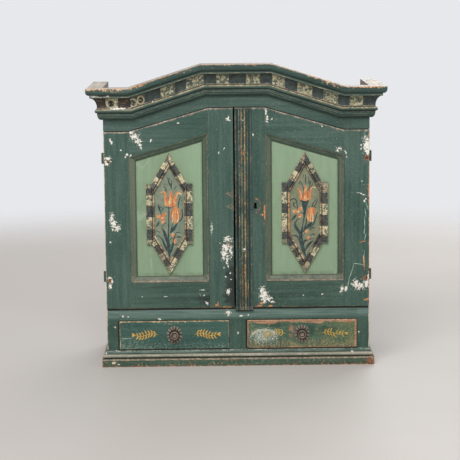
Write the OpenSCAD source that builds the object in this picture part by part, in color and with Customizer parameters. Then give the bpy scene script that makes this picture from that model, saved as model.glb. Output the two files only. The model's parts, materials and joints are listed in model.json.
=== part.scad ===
// Painted two-door cupboard with a broken-arch cornice and two drawers
// X runs to the right, the front faces -Y, Z is up and the cupboard stands on Z = 0

/* [Case] */
// Width across the outer faces of the sides
case_w = 842; // [800:1:900]
// Depth from the face frame to the back
case_d = 336; // [310:1:370]
// Thickness of the side boards
side_t = 22; // [21:1:27]
// Thickness of the back boards
back_t = 12; // [9:1:16]
// Gap between two back boards
back_gap = 1; // [0.4:0.1:2]
// Thickness of the roof board
roof_t = 20; // [16:1:24]
// Room between the top of the doors and the roof board
roof_gap = 3; // [1:1:12]
// Thickness of the board between cupboard and drawers
deck_t = 20; // [18:1:26]
// Thickness of the board under the drawers
floor_t = 20; // [14:1:26]
// Thickness of the face frame
frame_t = 23.5; // [21:0.5:28]
// Width of the stiles beside the drawers
stile_w = 39; // [34:1:46]
// Width of the post between the drawers
post_w = 56; // [46:1:66]
// Height of the rail above the drawers
rail_h = 39; // [34:1:50]
// Thickness of the partition between the drawers
partition_t = 20; // [14:1:26]
// Height of the strips that guide the drawers
guide_h = 26; // [16:1:40]
// Thickness of the shelf
shelf_t = 18; // [14:1:22]
// Height of the shelf's top above the cupboard floor
shelf_rise = 318; // [260:1:380]
// Distance of the shelf's front edge behind the sides' front edge
shelf_set = 58; // [40:1:90]
// Width of the cleats that carry the shelf
cleat_w = 18; // [12:1:26]
// Height of the cleats that carry the shelf
cleat_h = 25; // [16:1:36]

/* [Base] */
// Height of the base board
base_h = 28; // [22:1:36]
// Projection of the base board
base_out = 16; // [14:1:24]
// Height of the moulding on the base board
base_mould_h = 26; // [24:1:32]
// Projection of the moulding on the base board
base_mould_out = 13; // [12:0.5:14]
// Radius of the round at the foot of that moulding
torus_r = 6.5; // [5:0.5:7]
// Projection of that moulding at its top edge
base_mould_top = 1.5; // [1:0.5:3]

/* [Cornice] */
// Height of the frieze between the doors and the cornice
frieze_h = 39; // [30:1:50]
// Height of the cornice, square to its run
cornice_h = 100; // [98:1:110]
// Projection of the cornice at its top
crown_out = 51; // [49:1:60]
// Projection of the fillet under the crown
fillet_out = 38.5; // [36:0.5:40]
// Projection of the foot of the painted cove
cove_in = 17; // [14:0.5:18]
// Projection of the bead under the cove
bead_out = 24; // [23:0.5:26]
// Projection of the cornice at its foot
cornice_toe = 5; // [3:0.5:8]
// Height of the lowest round of the cornice
toe_h = 20; // [16:1:21]
// Radius of the bead under the cove
bead_r = 6; // [5:0.5:7]
// Height of the cove's foot above the foot of the cornice
cove_z = 38; // [37:1:40]
// Height of the cove
cove_h = 32; // [26:1:33]
// Height of the fillet
fillet_h = 8.5; // [6:0.5:10]
// Height of the crown's round
crown_h = 13; // [10:0.5:15]
// Hairline gap at every mitre of the mouldings and the base
mitre_gap = 0.2; // [0.1:0.05:0.5]
// Distance of the cornice's outer breaks inside those of the doors
cornice_shoulder_in = 14; // [0:1:25]
// Distance of the cornice's inner breaks outside those of the doors
cornice_crest_out = 7; // [0:1:20]

/* [Doors] */
// Thickness of the doors
door_t = 24; // [23.8:0.2:26]
// Height of the doors at their outer edges
door_h = 568; // [540:1:600]
// Rise of the doors from shoulder to crest
door_rise = 73; // [50:1:90]
// Gap above and below the doors
door_gap = 2; // [1:0.5:4]
// Gap between the backs of the doors and the case
seat_gap = 0.3; // [0.2:0.05:0.6]
// Place of the gap between the doors, measured from the middle
meeting_x = -8.5; // [-14:0.5:-2]
// Width of the gap between the doors
meeting_gap = 5; // [3:0.5:7]
// Width of the outer stiles
door_stile_w = 80; // [70:1:90]
// Distance of the panel openings from the middle
crest_x = 90; // [86:1:100]
// Height of the bottom rails
bottom_rail_h = 83; // [70:1:96]
// Height of the top rails, measured upright
top_rail_h = 79; // [70:1:90]
// Thickness of the door panels
panel_t = 9; // [7:0.5:10]
// Depth of the panels behind the face of the door
panel_set = 10; // [8:0.5:11]
// Depth of the grooves that hold the panels
groove_d = 7; // [5:0.5:10]
// Room left for the panel at the bottom of its groove
panel_play = 0.5; // [0.2:0.1:1]
// Room left for the panel on each side in its groove
groove_slack = 0.2; // [0.1:0.05:0.4]
// Length of the tenons on the door rails
tenon_l = 42; // [20:1:50]
// Thickness of the tenons
tenon_t = 8; // [6:0.5:9]
// Height of the tenons
tenon_h = 44; // [30:1:50]
// Room round each tenon in its mortise
tenon_slack = 0.2; // [0.1:0.05:0.4]
// Width of the moulding round each panel
mould_w = 21; // [14:0.5:22]
// Height of that moulding above the face of the door
mould_lip = 1; // [0.5:0.5:3]

/* [Hexagon frames] */
// Overall height of each hexagon frame
hex_h = 390; // [350:1:394]
// Overall width of each hexagon frame
hex_w = 148; // [136:1:160]
// Width across the corners where the slanted strips end
hex_neck_w = 114; // [106:1:124]
// Height of the upright strips
hex_side_h = 193; // [170:1:210]
// Width of the slanted strips
hex_slant_w = 23; // [19:0.5:26]
// Width of the upright strips
hex_upright_w = 26.5; // [23:0.5:30]
// Thickness of the painted band of each strip
hex_t = 9; // [6:0.5:12]
// Width of the bead along the inner edge
hex_bead_w = 6.5; // [4:0.5:8]
// Thickness of that bead
hex_bead_t = 6; // [4:0.5:6]

/* [Centre strip] */
// Width of the reeded strip
strip_w = 53; // [48:1:56]
// Thickness of the reeded strip
strip_t = 11; // [10:0.5:14]
// How far the strip hangs below the doors
strip_drop = 7; // [2:1:14]
// Distance of the strip's top below the crest of the doors
strip_top_set = 3; // [1:1:10]
// Width of the beads at the edges of the strip
edge_bead_w = 7; // [5:0.5:8]
// Thickness of those beads
edge_bead_t = 6; // [4:0.5:7]
// Width of the grooves beside those beads
quirk_w = 3; // [2:0.5:4]
// Thickness of the strip in those grooves
quirk_t = 3; // [2:0.5:3.5]
// Width of the reeds
reed_w = 7.5; // [6:0.5:8]
// Thickness of the reeds
reed_t = 8; // [6:0.5:9]
// Width of the two ridges beside the middle hollow
ridge_w = 5; // [3:0.5:6]
// Depth of the middle hollow
hollow_d = 3.5; // [2:0.5:6]
// Height of the plain foot of the strip
foot_h = 14; // [8:1:20]
// Thickness of that foot
foot_t = 9; // [8.5:0.5:10]

/* [Hinges] */
// Height of the lower hinges above the bottom of the doors
hinge_low = 101; // [80:1:140]
// Height of the upper hinges above the bottom of the doors
hinge_high = 482; // [420:1:510]
// Length of the hinges
hinge_len = 33; // [28:1:44]
// Distance of the hinge axis outside the case
hinge_out = 4.5; // [4.5:0.1:5.5]
// Radius of the hinge barrels
knuckle_r = 4.2; // [3.6:0.1:4.2]
// Length of the middle knuckle
mid_knuckle = 11; // [9:0.5:14]
// Gap between knuckles
knuckle_gap = 0.4; // [0.3:0.1:0.8]
// Radius of the hinge pins
pin_r = 2; // [1.5:0.1:2.3]
// Radial clearance of the hinge pins
pin_clear = 0.05; // [0.02:0.01:0.09]
// Radius of the heads of the hinge pins
pin_head_r = 3.2; // [2.8:0.1:3.8]
// Height of the heads of the hinge pins
pin_head_h = 1.6; // [1:0.1:2.4]
// Thickness of the hinge leaves
leaf_t = 1.5; // [1:0.1:2]
// Width of the leaves on the doors
door_leaf_w = 26; // [22:1:36]
// Width of the leaves on the case
case_leaf_w = 19; // [15:1:20]
// Radius of the nails through the doors
door_nail_r = 1.5; // [1:0.1:2]
// Radius of the heads of those nails
door_nail_head_r = 3.6; // [3:0.1:4.5]
// Thickness of the heads of those nails
door_nail_head_t = 1.6; // [1:0.1:2.4]
// Distance of those nails from the edge of the door
door_nail_in = 14; // [10:1:18]
// Distance of those nails below the middle of the hinge
door_nail_drop = 6; // [0:1:10]
// Radius of the nails that hold the leaves on the case
case_nail_r = 1.2; // [0.8:0.1:1.6]
// Radius of the heads of those nails
case_nail_head_r = 2.4; // [2:0.1:3]
// Thickness of the heads of those nails
case_nail_head_t = 0.9; // [0.5:0.1:0.9]
// Length of those nails
case_nail_len = 18; // [12:1:30]
// Distance between the two nails of a leaf
case_nail_pitch = 18; // [12:1:20]
// Room round each nail in its hole
nail_slack = 0.05; // [0.02:0.01:0.1]

/* [Lock] */
// Distance of the keyhole from the inner edge of the right door
keyhole_in = 64; // [61:0.5:66]
// Height of the keyhole above the bottom of the doors
keyhole_z = 329; // [280:1:360]
// Radius of the two rounds of the keyhole
keyhole_r = 4.3; // [3.5:0.1:5]
// Distance between the two rounds of the keyhole
keyhole_pitch = 10; // [8:0.5:12]
// Width of the slot between them
key_slot_w = 5; // [4.4:0.2:6]
// Height of the pointed oval plate
plate_h = 53; // [46:1:64]
// Full width of the pointed oval plate
plate_w = 36; // [30:1:38]
// Thickness of the plate
plate_t = 1.5; // [1:0.1:2.5]
// Gap between the plate and the reeded strip
plate_gap = 0.5; // [0.3:0.1:1]
// Width of the lock case
lock_w = 80; // [76:1:84]
// Height of the lock case
lock_h = 84; // [74:1:100]
// Thickness of the lock case
lock_t = 16; // [14:0.5:20]
// Distance of the lock case from the edge of the door
lock_in = 2; // [1:0.5:4]
// Height of the bolt above the keyhole
bolt_up = 20; // [18:0.5:24]
// Length of the lock bolt
bolt_len = 60; // [50:1:64]
// Height of the lock bolt
bolt_h = 14; // [10:1:16]
// Thickness of the lock bolt
bolt_t = 8; // [6:0.5:9]
// How far the lock bolt shoots
bolt_throw = 16; // [14:0.5:18]
// Room on each side of the lock bolt
bolt_slack = 0.3; // [0.2:0.05:0.5]
// Width of the keeper on the left door
keeper_w = 30; // [26:1:40]
// Height of the keeper
keeper_h = 28; // [26:1:40]
// Distance of the keeper from the edge of the door
keeper_in = 2; // [1:0.5:4]

/* [Left door bolt] */
// Radius of the upright rod bolt
rod_r = 4; // [3:0.1:4.5]
// Length of the rod bolt
rod_len = 130; // [110:1:160]
// Distance of the rod from the edge of the left door
rod_in = 26; // [20:1:32]
// Distance of the rod's axis behind the left door
rod_off = 9; // [8.5:0.5:11]
// Height of the rod's lower end above the bottom of the door
rod_up = 1; // [1:0.5:4]
// How far the rod bolt drops
rod_throw = 18; // [14:1:20]
// Radial clearance of the rod
rod_clear = 0.08; // [0.03:0.01:0.09]
// Depth of the square mortise for the rod in the cupboard floor
rod_hole_d = 17; // [16:0.5:17]
// Room on each side of the rod in that mortise
rod_hole_clear = 0.6; // [0.3:0.1:1]
// Width of the two guides of the rod
staple_w = 24; // [18:1:30]
// Height of the guides
staple_h = 12; // [8:1:14]
// Thickness of the guides
staple_t = 16; // [15.5:0.5:20]
// Height of the lower guide above the bottom of the door
staple_z = 22; // [18:1:30]
// Distance between the middles of the two guides
staple_pitch = 70; // [60:1:80]
// Radius of the grip on the rod
grip_r = 3.2; // [2.4:0.1:3.6]
// Length of the grip
grip_len = 14; // [8:1:18]

/* [Drawers] */
// Height of the drawer fronts
drawer_h = 91; // [84:1:100]
// Gap round the drawer fronts
drawer_gap = 1; // [0.6:0.1:2]
// Thickness of the drawer fronts
drawer_front_t = 20; // [16:1:22]
// How far the fronts stand out of the face frame
drawer_proud = 3; // [1:0.5:6]
// Thickness of the drawer sides
drawer_side_t = 12; // [10:1:14]
// Height of the drawer sides
drawer_side_h = 80; // [70:1:82]
// Gap between drawer sides and guides
drawer_side_gap = 1.5; // [0.8:0.1:2.5]
// Gap under the drawer sides
run_gap = 0.5; // [0.3:0.1:0.6]
// Thickness of the drawer bottoms
drawer_bottom_t = 8; // [6:0.5:9]
// Height of the drawer bottoms above the lower edge of the sides
drawer_bottom_up = 6; // [4:0.5:10]
// Depth of the grooves that hold the drawer bottoms
drawer_groove = 5; // [3:0.5:6]
// Thickness of the drawer backs
drawer_back_t = 12; // [8:1:14]
// Room behind the drawers
drawer_back_gap = 10; // [4:1:20]

/* [Drawer pulls] */
// Width of the lobed plates
rose_w = 50; // [44:1:56]
// Height of the lobed plates
rose_h = 59; // [52:1:66]
// Thickness of the lobed plates
rose_t = 2.5; // [1.5:0.1:4]
// Number of lobes
rose_lobes = 14; // [10:1:16]
// Radius of each lobe
lobe_r = 5.6; // [5:0.1:6.5]
// Radius of the dished knobs
knob_r = 15; // [12:0.5:17]
// Height of the knobs above the plates
knob_h = 13; // [9:0.5:18]
// Depth of the dish in the knobs
dish_d = 6; // [3:0.5:7]
// Radius of the stem under each knob
stem_r = 9; // [6:0.5:10]

/* [Hidden] */
$fn = 48;
arc_steps = 10;
// Overlap of a cutting solid past the face that it cuts
eps = 1;
// Extra length of a moulding before its mitres are cut
spare = 60;
// Reach of the solids that cut the mitres
reach = 120;
// Shift along an axis that opens half of the gap of a square corner's mitre
corner_shift = mitre_gap / sqrt(2);

// Depth stations, from front to back
y_back = (case_d + crown_out) / 2;
y_face = y_back - case_d;
y_side = y_face + frame_t;
y_inner = y_back - back_t;
y_door_back = y_side - seat_gap;
y_door = y_door_back - door_t;
y_panel = y_door + panel_set;
y_axis = y_side - seat_gap / 2;

// Widths
half_w = case_w / 2;
half_in = half_w - side_t;
shoulder_x = half_w - door_stile_w;
open_in = post_w / 2;
open_out = half_w - stile_w;
right_edge = meeting_x + meeting_gap / 2;
left_edge = meeting_gap / 2 - meeting_x;

// Heights
floor_z = base_h + base_mould_h;
opening_top = floor_z + drawer_h + 2 * drawer_gap;
deck_z = opening_top + rail_h;
door_z = deck_z + door_gap;
shoulder_z = door_z + door_h;
crest_z = shoulder_z + door_rise;
roof_z = crest_z + roof_gap;
shelf_z = deck_z + shelf_rise;
panel_low = door_z + bottom_rail_h;
panel_shoulder = shoulder_z - top_rail_h;
panel_crest = crest_z - top_rail_h;

// Outline of the panel opening of the right door, counter-clockwise from the lower inner corner
opening = [
    [crest_x, panel_low], [shoulder_x, panel_low],
    [shoulder_x, panel_shoulder], [crest_x, panel_crest]
];

// Run of the foot of the cornice, from left to right
cornice_x1 = shoulder_x - cornice_shoulder_in;
cornice_x2 = crest_x + cornice_crest_out;
cornice_low = shoulder_z + frieze_h;
cornice_high = crest_z + frieze_h;
cornice_line = [
    [-half_w, cornice_low], [-cornice_x1, cornice_low], [-cornice_x2, cornice_high],
    [cornice_x2, cornice_high], [cornice_x1, cornice_low], [half_w, cornice_low]
];

// Hexagon frame
hex_x = (crest_x + shoulder_x) / 2;
hex_z = (panel_low + (panel_shoulder + panel_crest) / 2) / 2;

// Hinges and lock
hinge_zs = [door_z + hinge_low, door_z + hinge_high];
axis_x = half_w + hinge_out;
key_x = right_edge + keyhole_in;
key_z = door_z + keyhole_z;
bolt_z = key_z + bolt_up;
// Distance of the middle of the lock bolt behind the door
bolt_y = lock_t / 2;
// Axis of the rod bolt
rod_x = -left_edge - rod_in;
rod_y0 = y_door_back + rod_off;

// Drawers, drawn on the right and mirrored for the left
drawer_x0 = open_in + drawer_gap;
drawer_x1 = open_out - drawer_gap;
box_x0 = open_in + drawer_side_gap;
box_x1 = open_out - drawer_side_gap;
drawer_y0 = y_face - drawer_proud;
drawer_y1 = y_inner - drawer_back_gap;
box_z = floor_z + run_gap;
pull_x = (drawer_x0 + drawer_x1) / 2;
pull_z = floor_z + drawer_gap + drawer_h / 2;

green = "#48625A";
frieze_green = "#4A6862";
panel_green = "#8FAF8F";
moulding_green = "#58604B";
dark_paint = "#3C4141";
bare = "#B98F63";
raw = "#8D7F6C";
iron = "#4A423B";

// Unit vector to the left of the run from a to b
function left_of(a, b) = let (d = b - a, l = norm(d)) [-d[1] / l, d[0] / l];

// Step from a corner to the line that lies a unit to the left of the run through it
function mitre(n1, n2) = (n1 + n2) / (1 + n1 * n2);

// Closed outline moved to its left by d
function inset(pts, d) = let (n = len(pts)) [
    for (i = [0 : n - 1])
        let (before = pts[(i + n - 1) % n], here = pts[i], after = pts[(i + 1) % n])
            here + d * mitre(left_of(before, here), left_of(here, after))
];

// Twice the area of an outline, positive where it runs counter-clockwise
function turn(pts) = let (n = len(pts), next = [for (i = [1 : n]) pts[i % n]])
    [for (i = [0 : n - 1]) pts[i][0] * next[i][1] - next[i][0] * pts[i][1]] * [for (p = pts) 1];

// Outline made smaller by d on every side
function shrink(pts, d) = inset(pts, turn(pts) > 0 ? d : -d);

// Open run moved to its left by d
function raise(pts, d) = let (n = len(pts)) [
    for (i = [0 : n - 1])
        let (
            n1 = i == 0 ? left_of(pts[0], pts[1]) : left_of(pts[i - 1], pts[i]),
            n2 = i == n - 1 ? n1 : left_of(pts[i], pts[i + 1])
        ) pts[i] + d * mitre(n1, n2)
];

// Points on part of an ellipse
function arc(cx, cy, rx, ry, a0, a1) = [
    for (i = [0 : arc_steps])
        let (a = a0 + (a1 - a0) * i / arc_steps) [cx + rx * cos(a), cy + ry * sin(a)]
];

// Cornice section as [projection, height]
cornice_profile = concat(
    [[0, 0]],
    arc(cornice_toe, toe_h, cove_in - cornice_toe, toe_h, -90, 0),
    arc(bead_out - bead_r, cove_z - 4 - bead_r, bead_r, bead_r, -90, 90),
    [[cove_in, cove_z - 4]],
    arc(fillet_out, cove_z, fillet_out - cove_in, cove_h, 180, 90),
    [[fillet_out, cove_z + cove_h + fillet_h]],
    arc(crown_out - 11, cove_z + cove_h + fillet_h + crown_h, 11, crown_h, -90, 0),
    [[crown_out, cornice_h], [0, cornice_h]]
);

// Base moulding section as [projection, height]
base_profile = concat(
    [[0, 0]],
    arc(base_mould_out - torus_r, torus_r, torus_r, torus_r, -90, 90),
    arc(base_mould_out - 4, base_mould_h, base_mould_out - 4 - base_mould_top,
        base_mould_h - 2 * torus_r - 1, 270, 180),
    [[0, base_mould_h]]
);

// Section of the moulding round the panels as [projection, distance from the opening's edge]
mould_top = panel_set + mould_lip;
panel_profile = concat(
    [[0, 0]],
    arc(mould_top - 2, 2, 2, 2, -90, 90),
    [[mould_top - 3, 4.6], [2.6, mould_w - 2.4], [2, mould_w], [0, mould_w]]
);

// Section of a hexagon strip of width w as [projection, distance from its outer edge]
function hex_profile(w) = concat(
    [[0, 0], [hex_t - 1.5, 0], [hex_t, 1.5]],
    [[hex_t, w - hex_bead_w - 2.5], [hex_bead_t - 2.5, w - hex_bead_w - 1]],
    arc(hex_bead_t - hex_bead_w / 2, w - hex_bead_w / 2, hex_bead_w / 2, hex_bead_w / 2, -90, 90),
    [[0, w]]
);

// Distance of the ridges from the edges of the reeded strip
strip_ridge_x = edge_bead_w + quirk_w + reed_w;

// Section of the reeded strip as [distance from its left edge, thickness], left half and whole
strip_half = concat(
    [[0, 0], [0, edge_bead_t / 2]],
    arc(edge_bead_w / 2, edge_bead_t / 2, edge_bead_w / 2, edge_bead_t / 2, 180, 0),
    [[edge_bead_w, quirk_t - 0.5], [edge_bead_w + quirk_w, quirk_t - 0.5]],
    arc(edge_bead_w + quirk_w + reed_w / 2, reed_t / 2, reed_w / 2, reed_t / 2, 180, 0),
    [[strip_ridge_x, strip_t], [strip_ridge_x + ridge_w, strip_t]]
);
hollow_w = strip_w - 2 * (strip_ridge_x + ridge_w);
strip_profile = concat(
    strip_half,
    arc(strip_w / 2, strip_t, hollow_w / 2, hollow_d, 180, 360),
    [for (i = [len(strip_half) - 1 : -1 : 0]) [strip_w - strip_half[i][0], strip_half[i][1]]]
);

// Upright outline given in X and Z, from y0 to y0 + t
module slab(y0, t) {
    translate([0, y0 + t, 0]) rotate([90, 0, 0]) linear_extrude(t) children();
}

module box(x0, x1, y0, y1, z0, z1) {
    translate([x0, y0, z0]) cube([x1 - x0, y1 - y0, z1 - z0]);
}

module on_side(s) {
    if (s < 0) mirror([1, 0, 0]) children();
    else children();
}

// Round bar or hole along Y
module rod_y(x, y0, y1, z, r) {
    translate([x, y1, z]) rotate([90, 0, 0]) cylinder(r = r, h = y1 - y0);
}

// Moulding with its back at y, its section's edge on the run from a to b, cut to the outline cell
module moulding(section, a, b, cell, y) {
    run = norm(b - a);
    angle = atan2(b[1] - a[1], b[0] - a[0]);
    intersection() {
        translate([a[0], y, a[1]])
            rotate([0, -angle, 0])
                translate([-spare, 0, 0])
                    rotate([90, 0, 90])
                        linear_extrude(run + 2 * spare)
                            polygon([for (p = section) [-p[0], p[1]]]);
        slab(y - reach, reach + eps) polygon(shrink(cell, mitre_gap / 2));
    }
}

// Part of the floor plan in front of the mitred corners
module front_plan(z0, z1) {
    translate([0, -corner_shift, z0]) linear_extrude(z1 - z0) polygon([
        [eps - half_w, y_face + eps], [half_w - eps, y_face + eps],
        [half_w + reach, y_face - reach], [-half_w - reach, y_face - reach]
    ]);
}

module front_moulding(section, z0, z1) {
    intersection() {
        translate([-half_w - spare, y_face, z0])
            rotate([90, 0, 90])
                linear_extrude(case_w + 2 * spare)
                    polygon([for (p = section) [-p[0], p[1]]]);
        front_plan(z0 - eps, z1 + eps);
    }
}

// Moulding along the right side from the front corner to the back
module return_moulding(section, z0, z1) {
    intersection() {
        translate([half_w, y_back, z0])
            rotate([90, 0, 0])
                linear_extrude(case_d + spare)
                    polygon(section);
        translate([0, 0, z0 - eps]) linear_extrude(z1 - z0 + 2 * eps) polygon([
            [half_w - eps, y_face + eps + corner_shift],
            [half_w + reach, y_face - reach + corner_shift],
            [half_w + reach, y_back + eps], [half_w - eps, y_back + eps]
        ]);
    }
}

// Case boards
module case_nail_holes() {
    for (z = hinge_zs, k = [-1, 1]) {
        zn = z + k * case_nail_pitch / 2;
        rod_y(case_nail_x, y_side - eps, y_side + case_nail_len + nail_slack, zn, case_nail_r + nail_slack);
    }
}

case_nail_x = half_w - case_leaf_w / 2 - 1;

module case_leaf_seat() {
    for (z = hinge_zs)
        box(half_w - case_leaf_w, half_w + eps, y_side - eps, y_side + leaf_t,
            z - hinge_len / 2, z + hinge_len / 2);
}

module side_board(s) {
    color(green) on_side(s) difference() {
        box(half_in, half_w, y_side, y_inner, 0, roof_z);
        case_leaf_seat();
        case_nail_holes();
    }
}

module side_left() {
    side_board(-1);
}

module side_right() {
    side_board(1);
}

module roof_board() {
    color(raw) box(-half_w, half_w, y_side, y_inner, roof_z, roof_z + roof_t);
}

module deck_board() {
    half = rod_r + rod_hole_clear;
    color(raw) difference() {
        box(-half_in, half_in, y_side, y_inner, deck_z - deck_t, deck_z);
        box(rod_x - half, rod_x + half, rod_y0 - half, rod_y0 + half, deck_z - rod_hole_d, deck_z + eps);
    }
}

module floor_board() {
    color(raw) box(-half_in, half_in, y_side, y_inner, floor_z - floor_t, floor_z);
}

module shelf() {
    color(raw) box(-half_in, half_in, y_side + shelf_set, y_inner, shelf_z - shelf_t, shelf_z);
}

module shelf_cleats() {
    color(raw) for (s = [-1, 1])
        on_side(s) box(half_in - cleat_w, half_in, y_side + shelf_set, y_inner,
            shelf_z - shelf_t - cleat_h, shelf_z - shelf_t);
}

module back_boards() {
    count = 3;
    pitch = (case_w + back_gap) / count;
    color(raw) for (i = [0 : count - 1])
        box(-half_w + i * pitch, -half_w + (i + 1) * pitch - back_gap, y_inner, y_back, 0, roof_z + roof_t);
}

module frieze_board() {
    low = [
        [-half_w, shoulder_z], [-shoulder_x, shoulder_z], [-crest_x, crest_z],
        [crest_x, crest_z], [shoulder_x, shoulder_z], [half_w, shoulder_z]
    ];
    high = raise(cornice_line, cornice_h);
    color(frieze_green) slab(y_face, frame_t) polygon(concat(
        [for (p = low) p + [0, door_gap]],
        [for (i = [len(high) - 1 : -1 : 0]) high[i]]
    ));
}

// Face frame and drawer section
module drawer_rail() {
    color(green) box(-open_out, open_out, y_face, y_side, opening_top, deck_z);
}

module frame_stiles() {
    color(green) for (s = [-1, 1])
        on_side(s) box(open_out, half_w, y_face, y_side, 0, deck_z);
}

module drawer_post() {
    color(green) box(-open_in, open_in, y_face, y_side, floor_z, opening_top);
}

module lower_rail() {
    color(green) box(-open_out, open_out, y_face, y_side, 0, floor_z);
}

module drawer_partition() {
    color(raw) box(-partition_t / 2, partition_t / 2, y_side, y_inner, floor_z, deck_z - deck_t);
}

module drawer_guides() {
    color(raw) for (s = [-1, 1]) on_side(s) {
        box(partition_t / 2, open_in, y_side, y_inner, floor_z, floor_z + guide_h);
        box(open_out, half_in, y_side, y_inner, floor_z, floor_z + guide_h);
    }
}

module base_boards() {
    color(green) {
        linear_extrude(base_h) polygon([
            [corner_shift - half_w, y_face],
            [corner_shift - half_w - base_out, y_face - base_out],
            [half_w + base_out - corner_shift, y_face - base_out],
            [half_w - corner_shift, y_face]
        ]);
        for (s = [-1, 1]) on_side(s) linear_extrude(base_h) polygon([
            [half_w, y_face + corner_shift],
            [half_w + base_out, y_face - base_out + corner_shift],
            [half_w + base_out, y_back], [half_w, y_back]
        ]);
    }
}

module base_mouldings() {
    color(green) {
        front_moulding(base_profile, base_h, floor_z);
        for (s = [-1, 1]) on_side(s) return_moulding(base_profile, base_h, floor_z);
    }
}

// Cornice, one strip for each straight stretch of the arch
module cornice_piece(i) {
    last = len(cornice_line) - 2;
    low = raise(cornice_line, -eps);
    high = raise(cornice_line, cornice_h + eps);
    // The outer ends run on past the case, up to the mitred corners
    left_end = i == 0 ? [-reach, 0] : [0, 0];
    right_end = i == last ? [reach, 0] : [0, 0];
    cell = [low[i] + left_end, low[i + 1] + right_end, high[i + 1] + right_end, high[i] + left_end];
    moulding(cornice_profile, cornice_line[i], cornice_line[i + 1], cell, y_face);
}

module cornice_centre() {
    color(green) cornice_piece(2);
}

module cornice_slopes() {
    color(green) {
        cornice_piece(1);
        cornice_piece(3);
    }
}

module cornice_flats() {
    color(green) intersection() {
        union() {
            cornice_piece(0);
            cornice_piece(4);
        }
        front_plan(cornice_low - eps, cornice_low + cornice_h + eps);
    }
}

module cornice_returns() {
    color(green) for (s = [-1, 1]) on_side(s)
        return_moulding(cornice_profile, cornice_low, cornice_low + cornice_h);
}

// Hinges
module knuckle(z0, z1) {
    translate([axis_x, y_axis, z0]) cylinder(r = knuckle_r, h = z1 - z0);
}

module pin_bore() {
    for (z = hinge_zs)
        translate([axis_x, y_axis, z - hinge_len]) cylinder(r = pin_r + pin_clear, h = 2 * hinge_len);
}

module case_leaves() {
    half_mid = mid_knuckle / 2 + knuckle_gap;
    difference() {
        union() for (z = hinge_zs) {
            box(half_w - case_leaf_w, half_w, y_side, y_side + leaf_t, z - hinge_len / 2, z + hinge_len / 2);
            for (k = [-1, 1]) {
                z0 = k < 0 ? z - hinge_len / 2 : z + half_mid;
                z1 = k < 0 ? z - half_mid : z + hinge_len / 2;
                knuckle(z0, z1);
                box(half_w - eps, axis_x, y_side, y_side + leaf_t, z0, z1);
            }
        }
        pin_bore();
        for (z = hinge_zs, k = [-1, 1]) {
            zn = z + k * case_nail_pitch / 2;
            rod_y(case_nail_x, y_side - eps, y_side + leaf_t + eps, zn, case_nail_r + nail_slack);
            rod_y(case_nail_x, y_side - eps, y_side + case_nail_head_t, zn, case_nail_head_r + nail_slack);
        }
    }
}

module hinge_case_leaves() {
    color(iron) for (s = [-1, 1]) on_side(s) case_leaves();
}

module hinge_pins() {
    color(iron) for (s = [-1, 1], z = hinge_zs) on_side(s) translate([axis_x, y_axis, z]) {
        translate([0, 0, -hinge_len / 2]) cylinder(r = pin_r, h = hinge_len);
        translate([0, 0, hinge_len / 2]) cylinder(r = pin_head_r, h = pin_head_h);
    }
}

module hinge_case_nails() {
    color(iron) for (s = [-1, 1], z = hinge_zs, k = [-1, 1]) on_side(s) {
        zn = z + k * case_nail_pitch / 2;
        rod_y(case_nail_x, y_side, y_side + case_nail_len, zn, case_nail_r);
        rod_y(case_nail_x, y_side, y_side + case_nail_head_t, zn, case_nail_head_r);
    }
}

door_nail_x = half_w - door_nail_in;

module door_leaves() {
    difference() {
        union() for (z = hinge_zs) {
            box(half_w - door_leaf_w, half_w, y_door_back - leaf_t, y_door_back,
                z - hinge_len / 2, z + hinge_len / 2);
            knuckle(z - mid_knuckle / 2, z + mid_knuckle / 2);
            box(half_w - eps, axis_x, y_door_back - leaf_t, y_door_back,
                z - mid_knuckle / 2, z + mid_knuckle / 2);
        }
        pin_bore();
        for (z = hinge_zs)
            rod_y(door_nail_x, y_door, y_side, z - door_nail_drop, door_nail_r + nail_slack);
    }
}

module door_leaf_seat() {
    for (z = hinge_zs) {
        box(half_w - door_leaf_w, half_w + eps, y_door_back - leaf_t, y_door_back + eps,
            z - hinge_len / 2, z + hinge_len / 2);
        rod_y(door_nail_x, y_door - eps, y_door_back, z - door_nail_drop, door_nail_r + nail_slack);
    }
}

module door_nails() {
    for (z = hinge_zs) {
        rod_y(door_nail_x, y_door, y_door_back, z - door_nail_drop, door_nail_r);
        rod_y(door_nail_x, y_door - door_nail_head_t, y_door, z - door_nail_drop, door_nail_head_r);
    }
}

// Doors, drawn on the right and mirrored for the left
module panel_groove() {
    slab(y_panel - groove_slack, panel_t + 2 * groove_slack) polygon(inset(opening, -groove_d));
}

// Tenons of both rails that enter the stile at x, on the side given by dir
module tenons(x, dir, top, spare) {
    y0 = y_panel + panel_t / 2 - tenon_t / 2;
    x0 = dir > 0 ? x - eps : x - tenon_l - spare;
    x1 = dir > 0 ? x + tenon_l + spare : x + eps;
    low = (door_z + panel_low) / 2;
    for (z = [low, top])
        box(x0, x1, y0 - spare, y0 + tenon_t + spare, z - tenon_h / 2 - spare, z + tenon_h / 2 + spare);
}

outer_tenon_z = shoulder_z - top_rail_h / 2;
inner_tenon_z = crest_z - top_rail_h / 2;

module outer_stile() {
    difference() {
        box(shoulder_x, half_w, y_door, y_door_back, door_z, shoulder_z);
        panel_groove();
        tenons(shoulder_x, 1, outer_tenon_z, tenon_slack);
        door_leaf_seat();
    }
}

module inner_stile(edge) {
    difference() {
        box(edge, crest_x, y_door, y_door_back, door_z, crest_z);
        panel_groove();
        tenons(crest_x, -1, inner_tenon_z, tenon_slack);
    }
}

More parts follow.
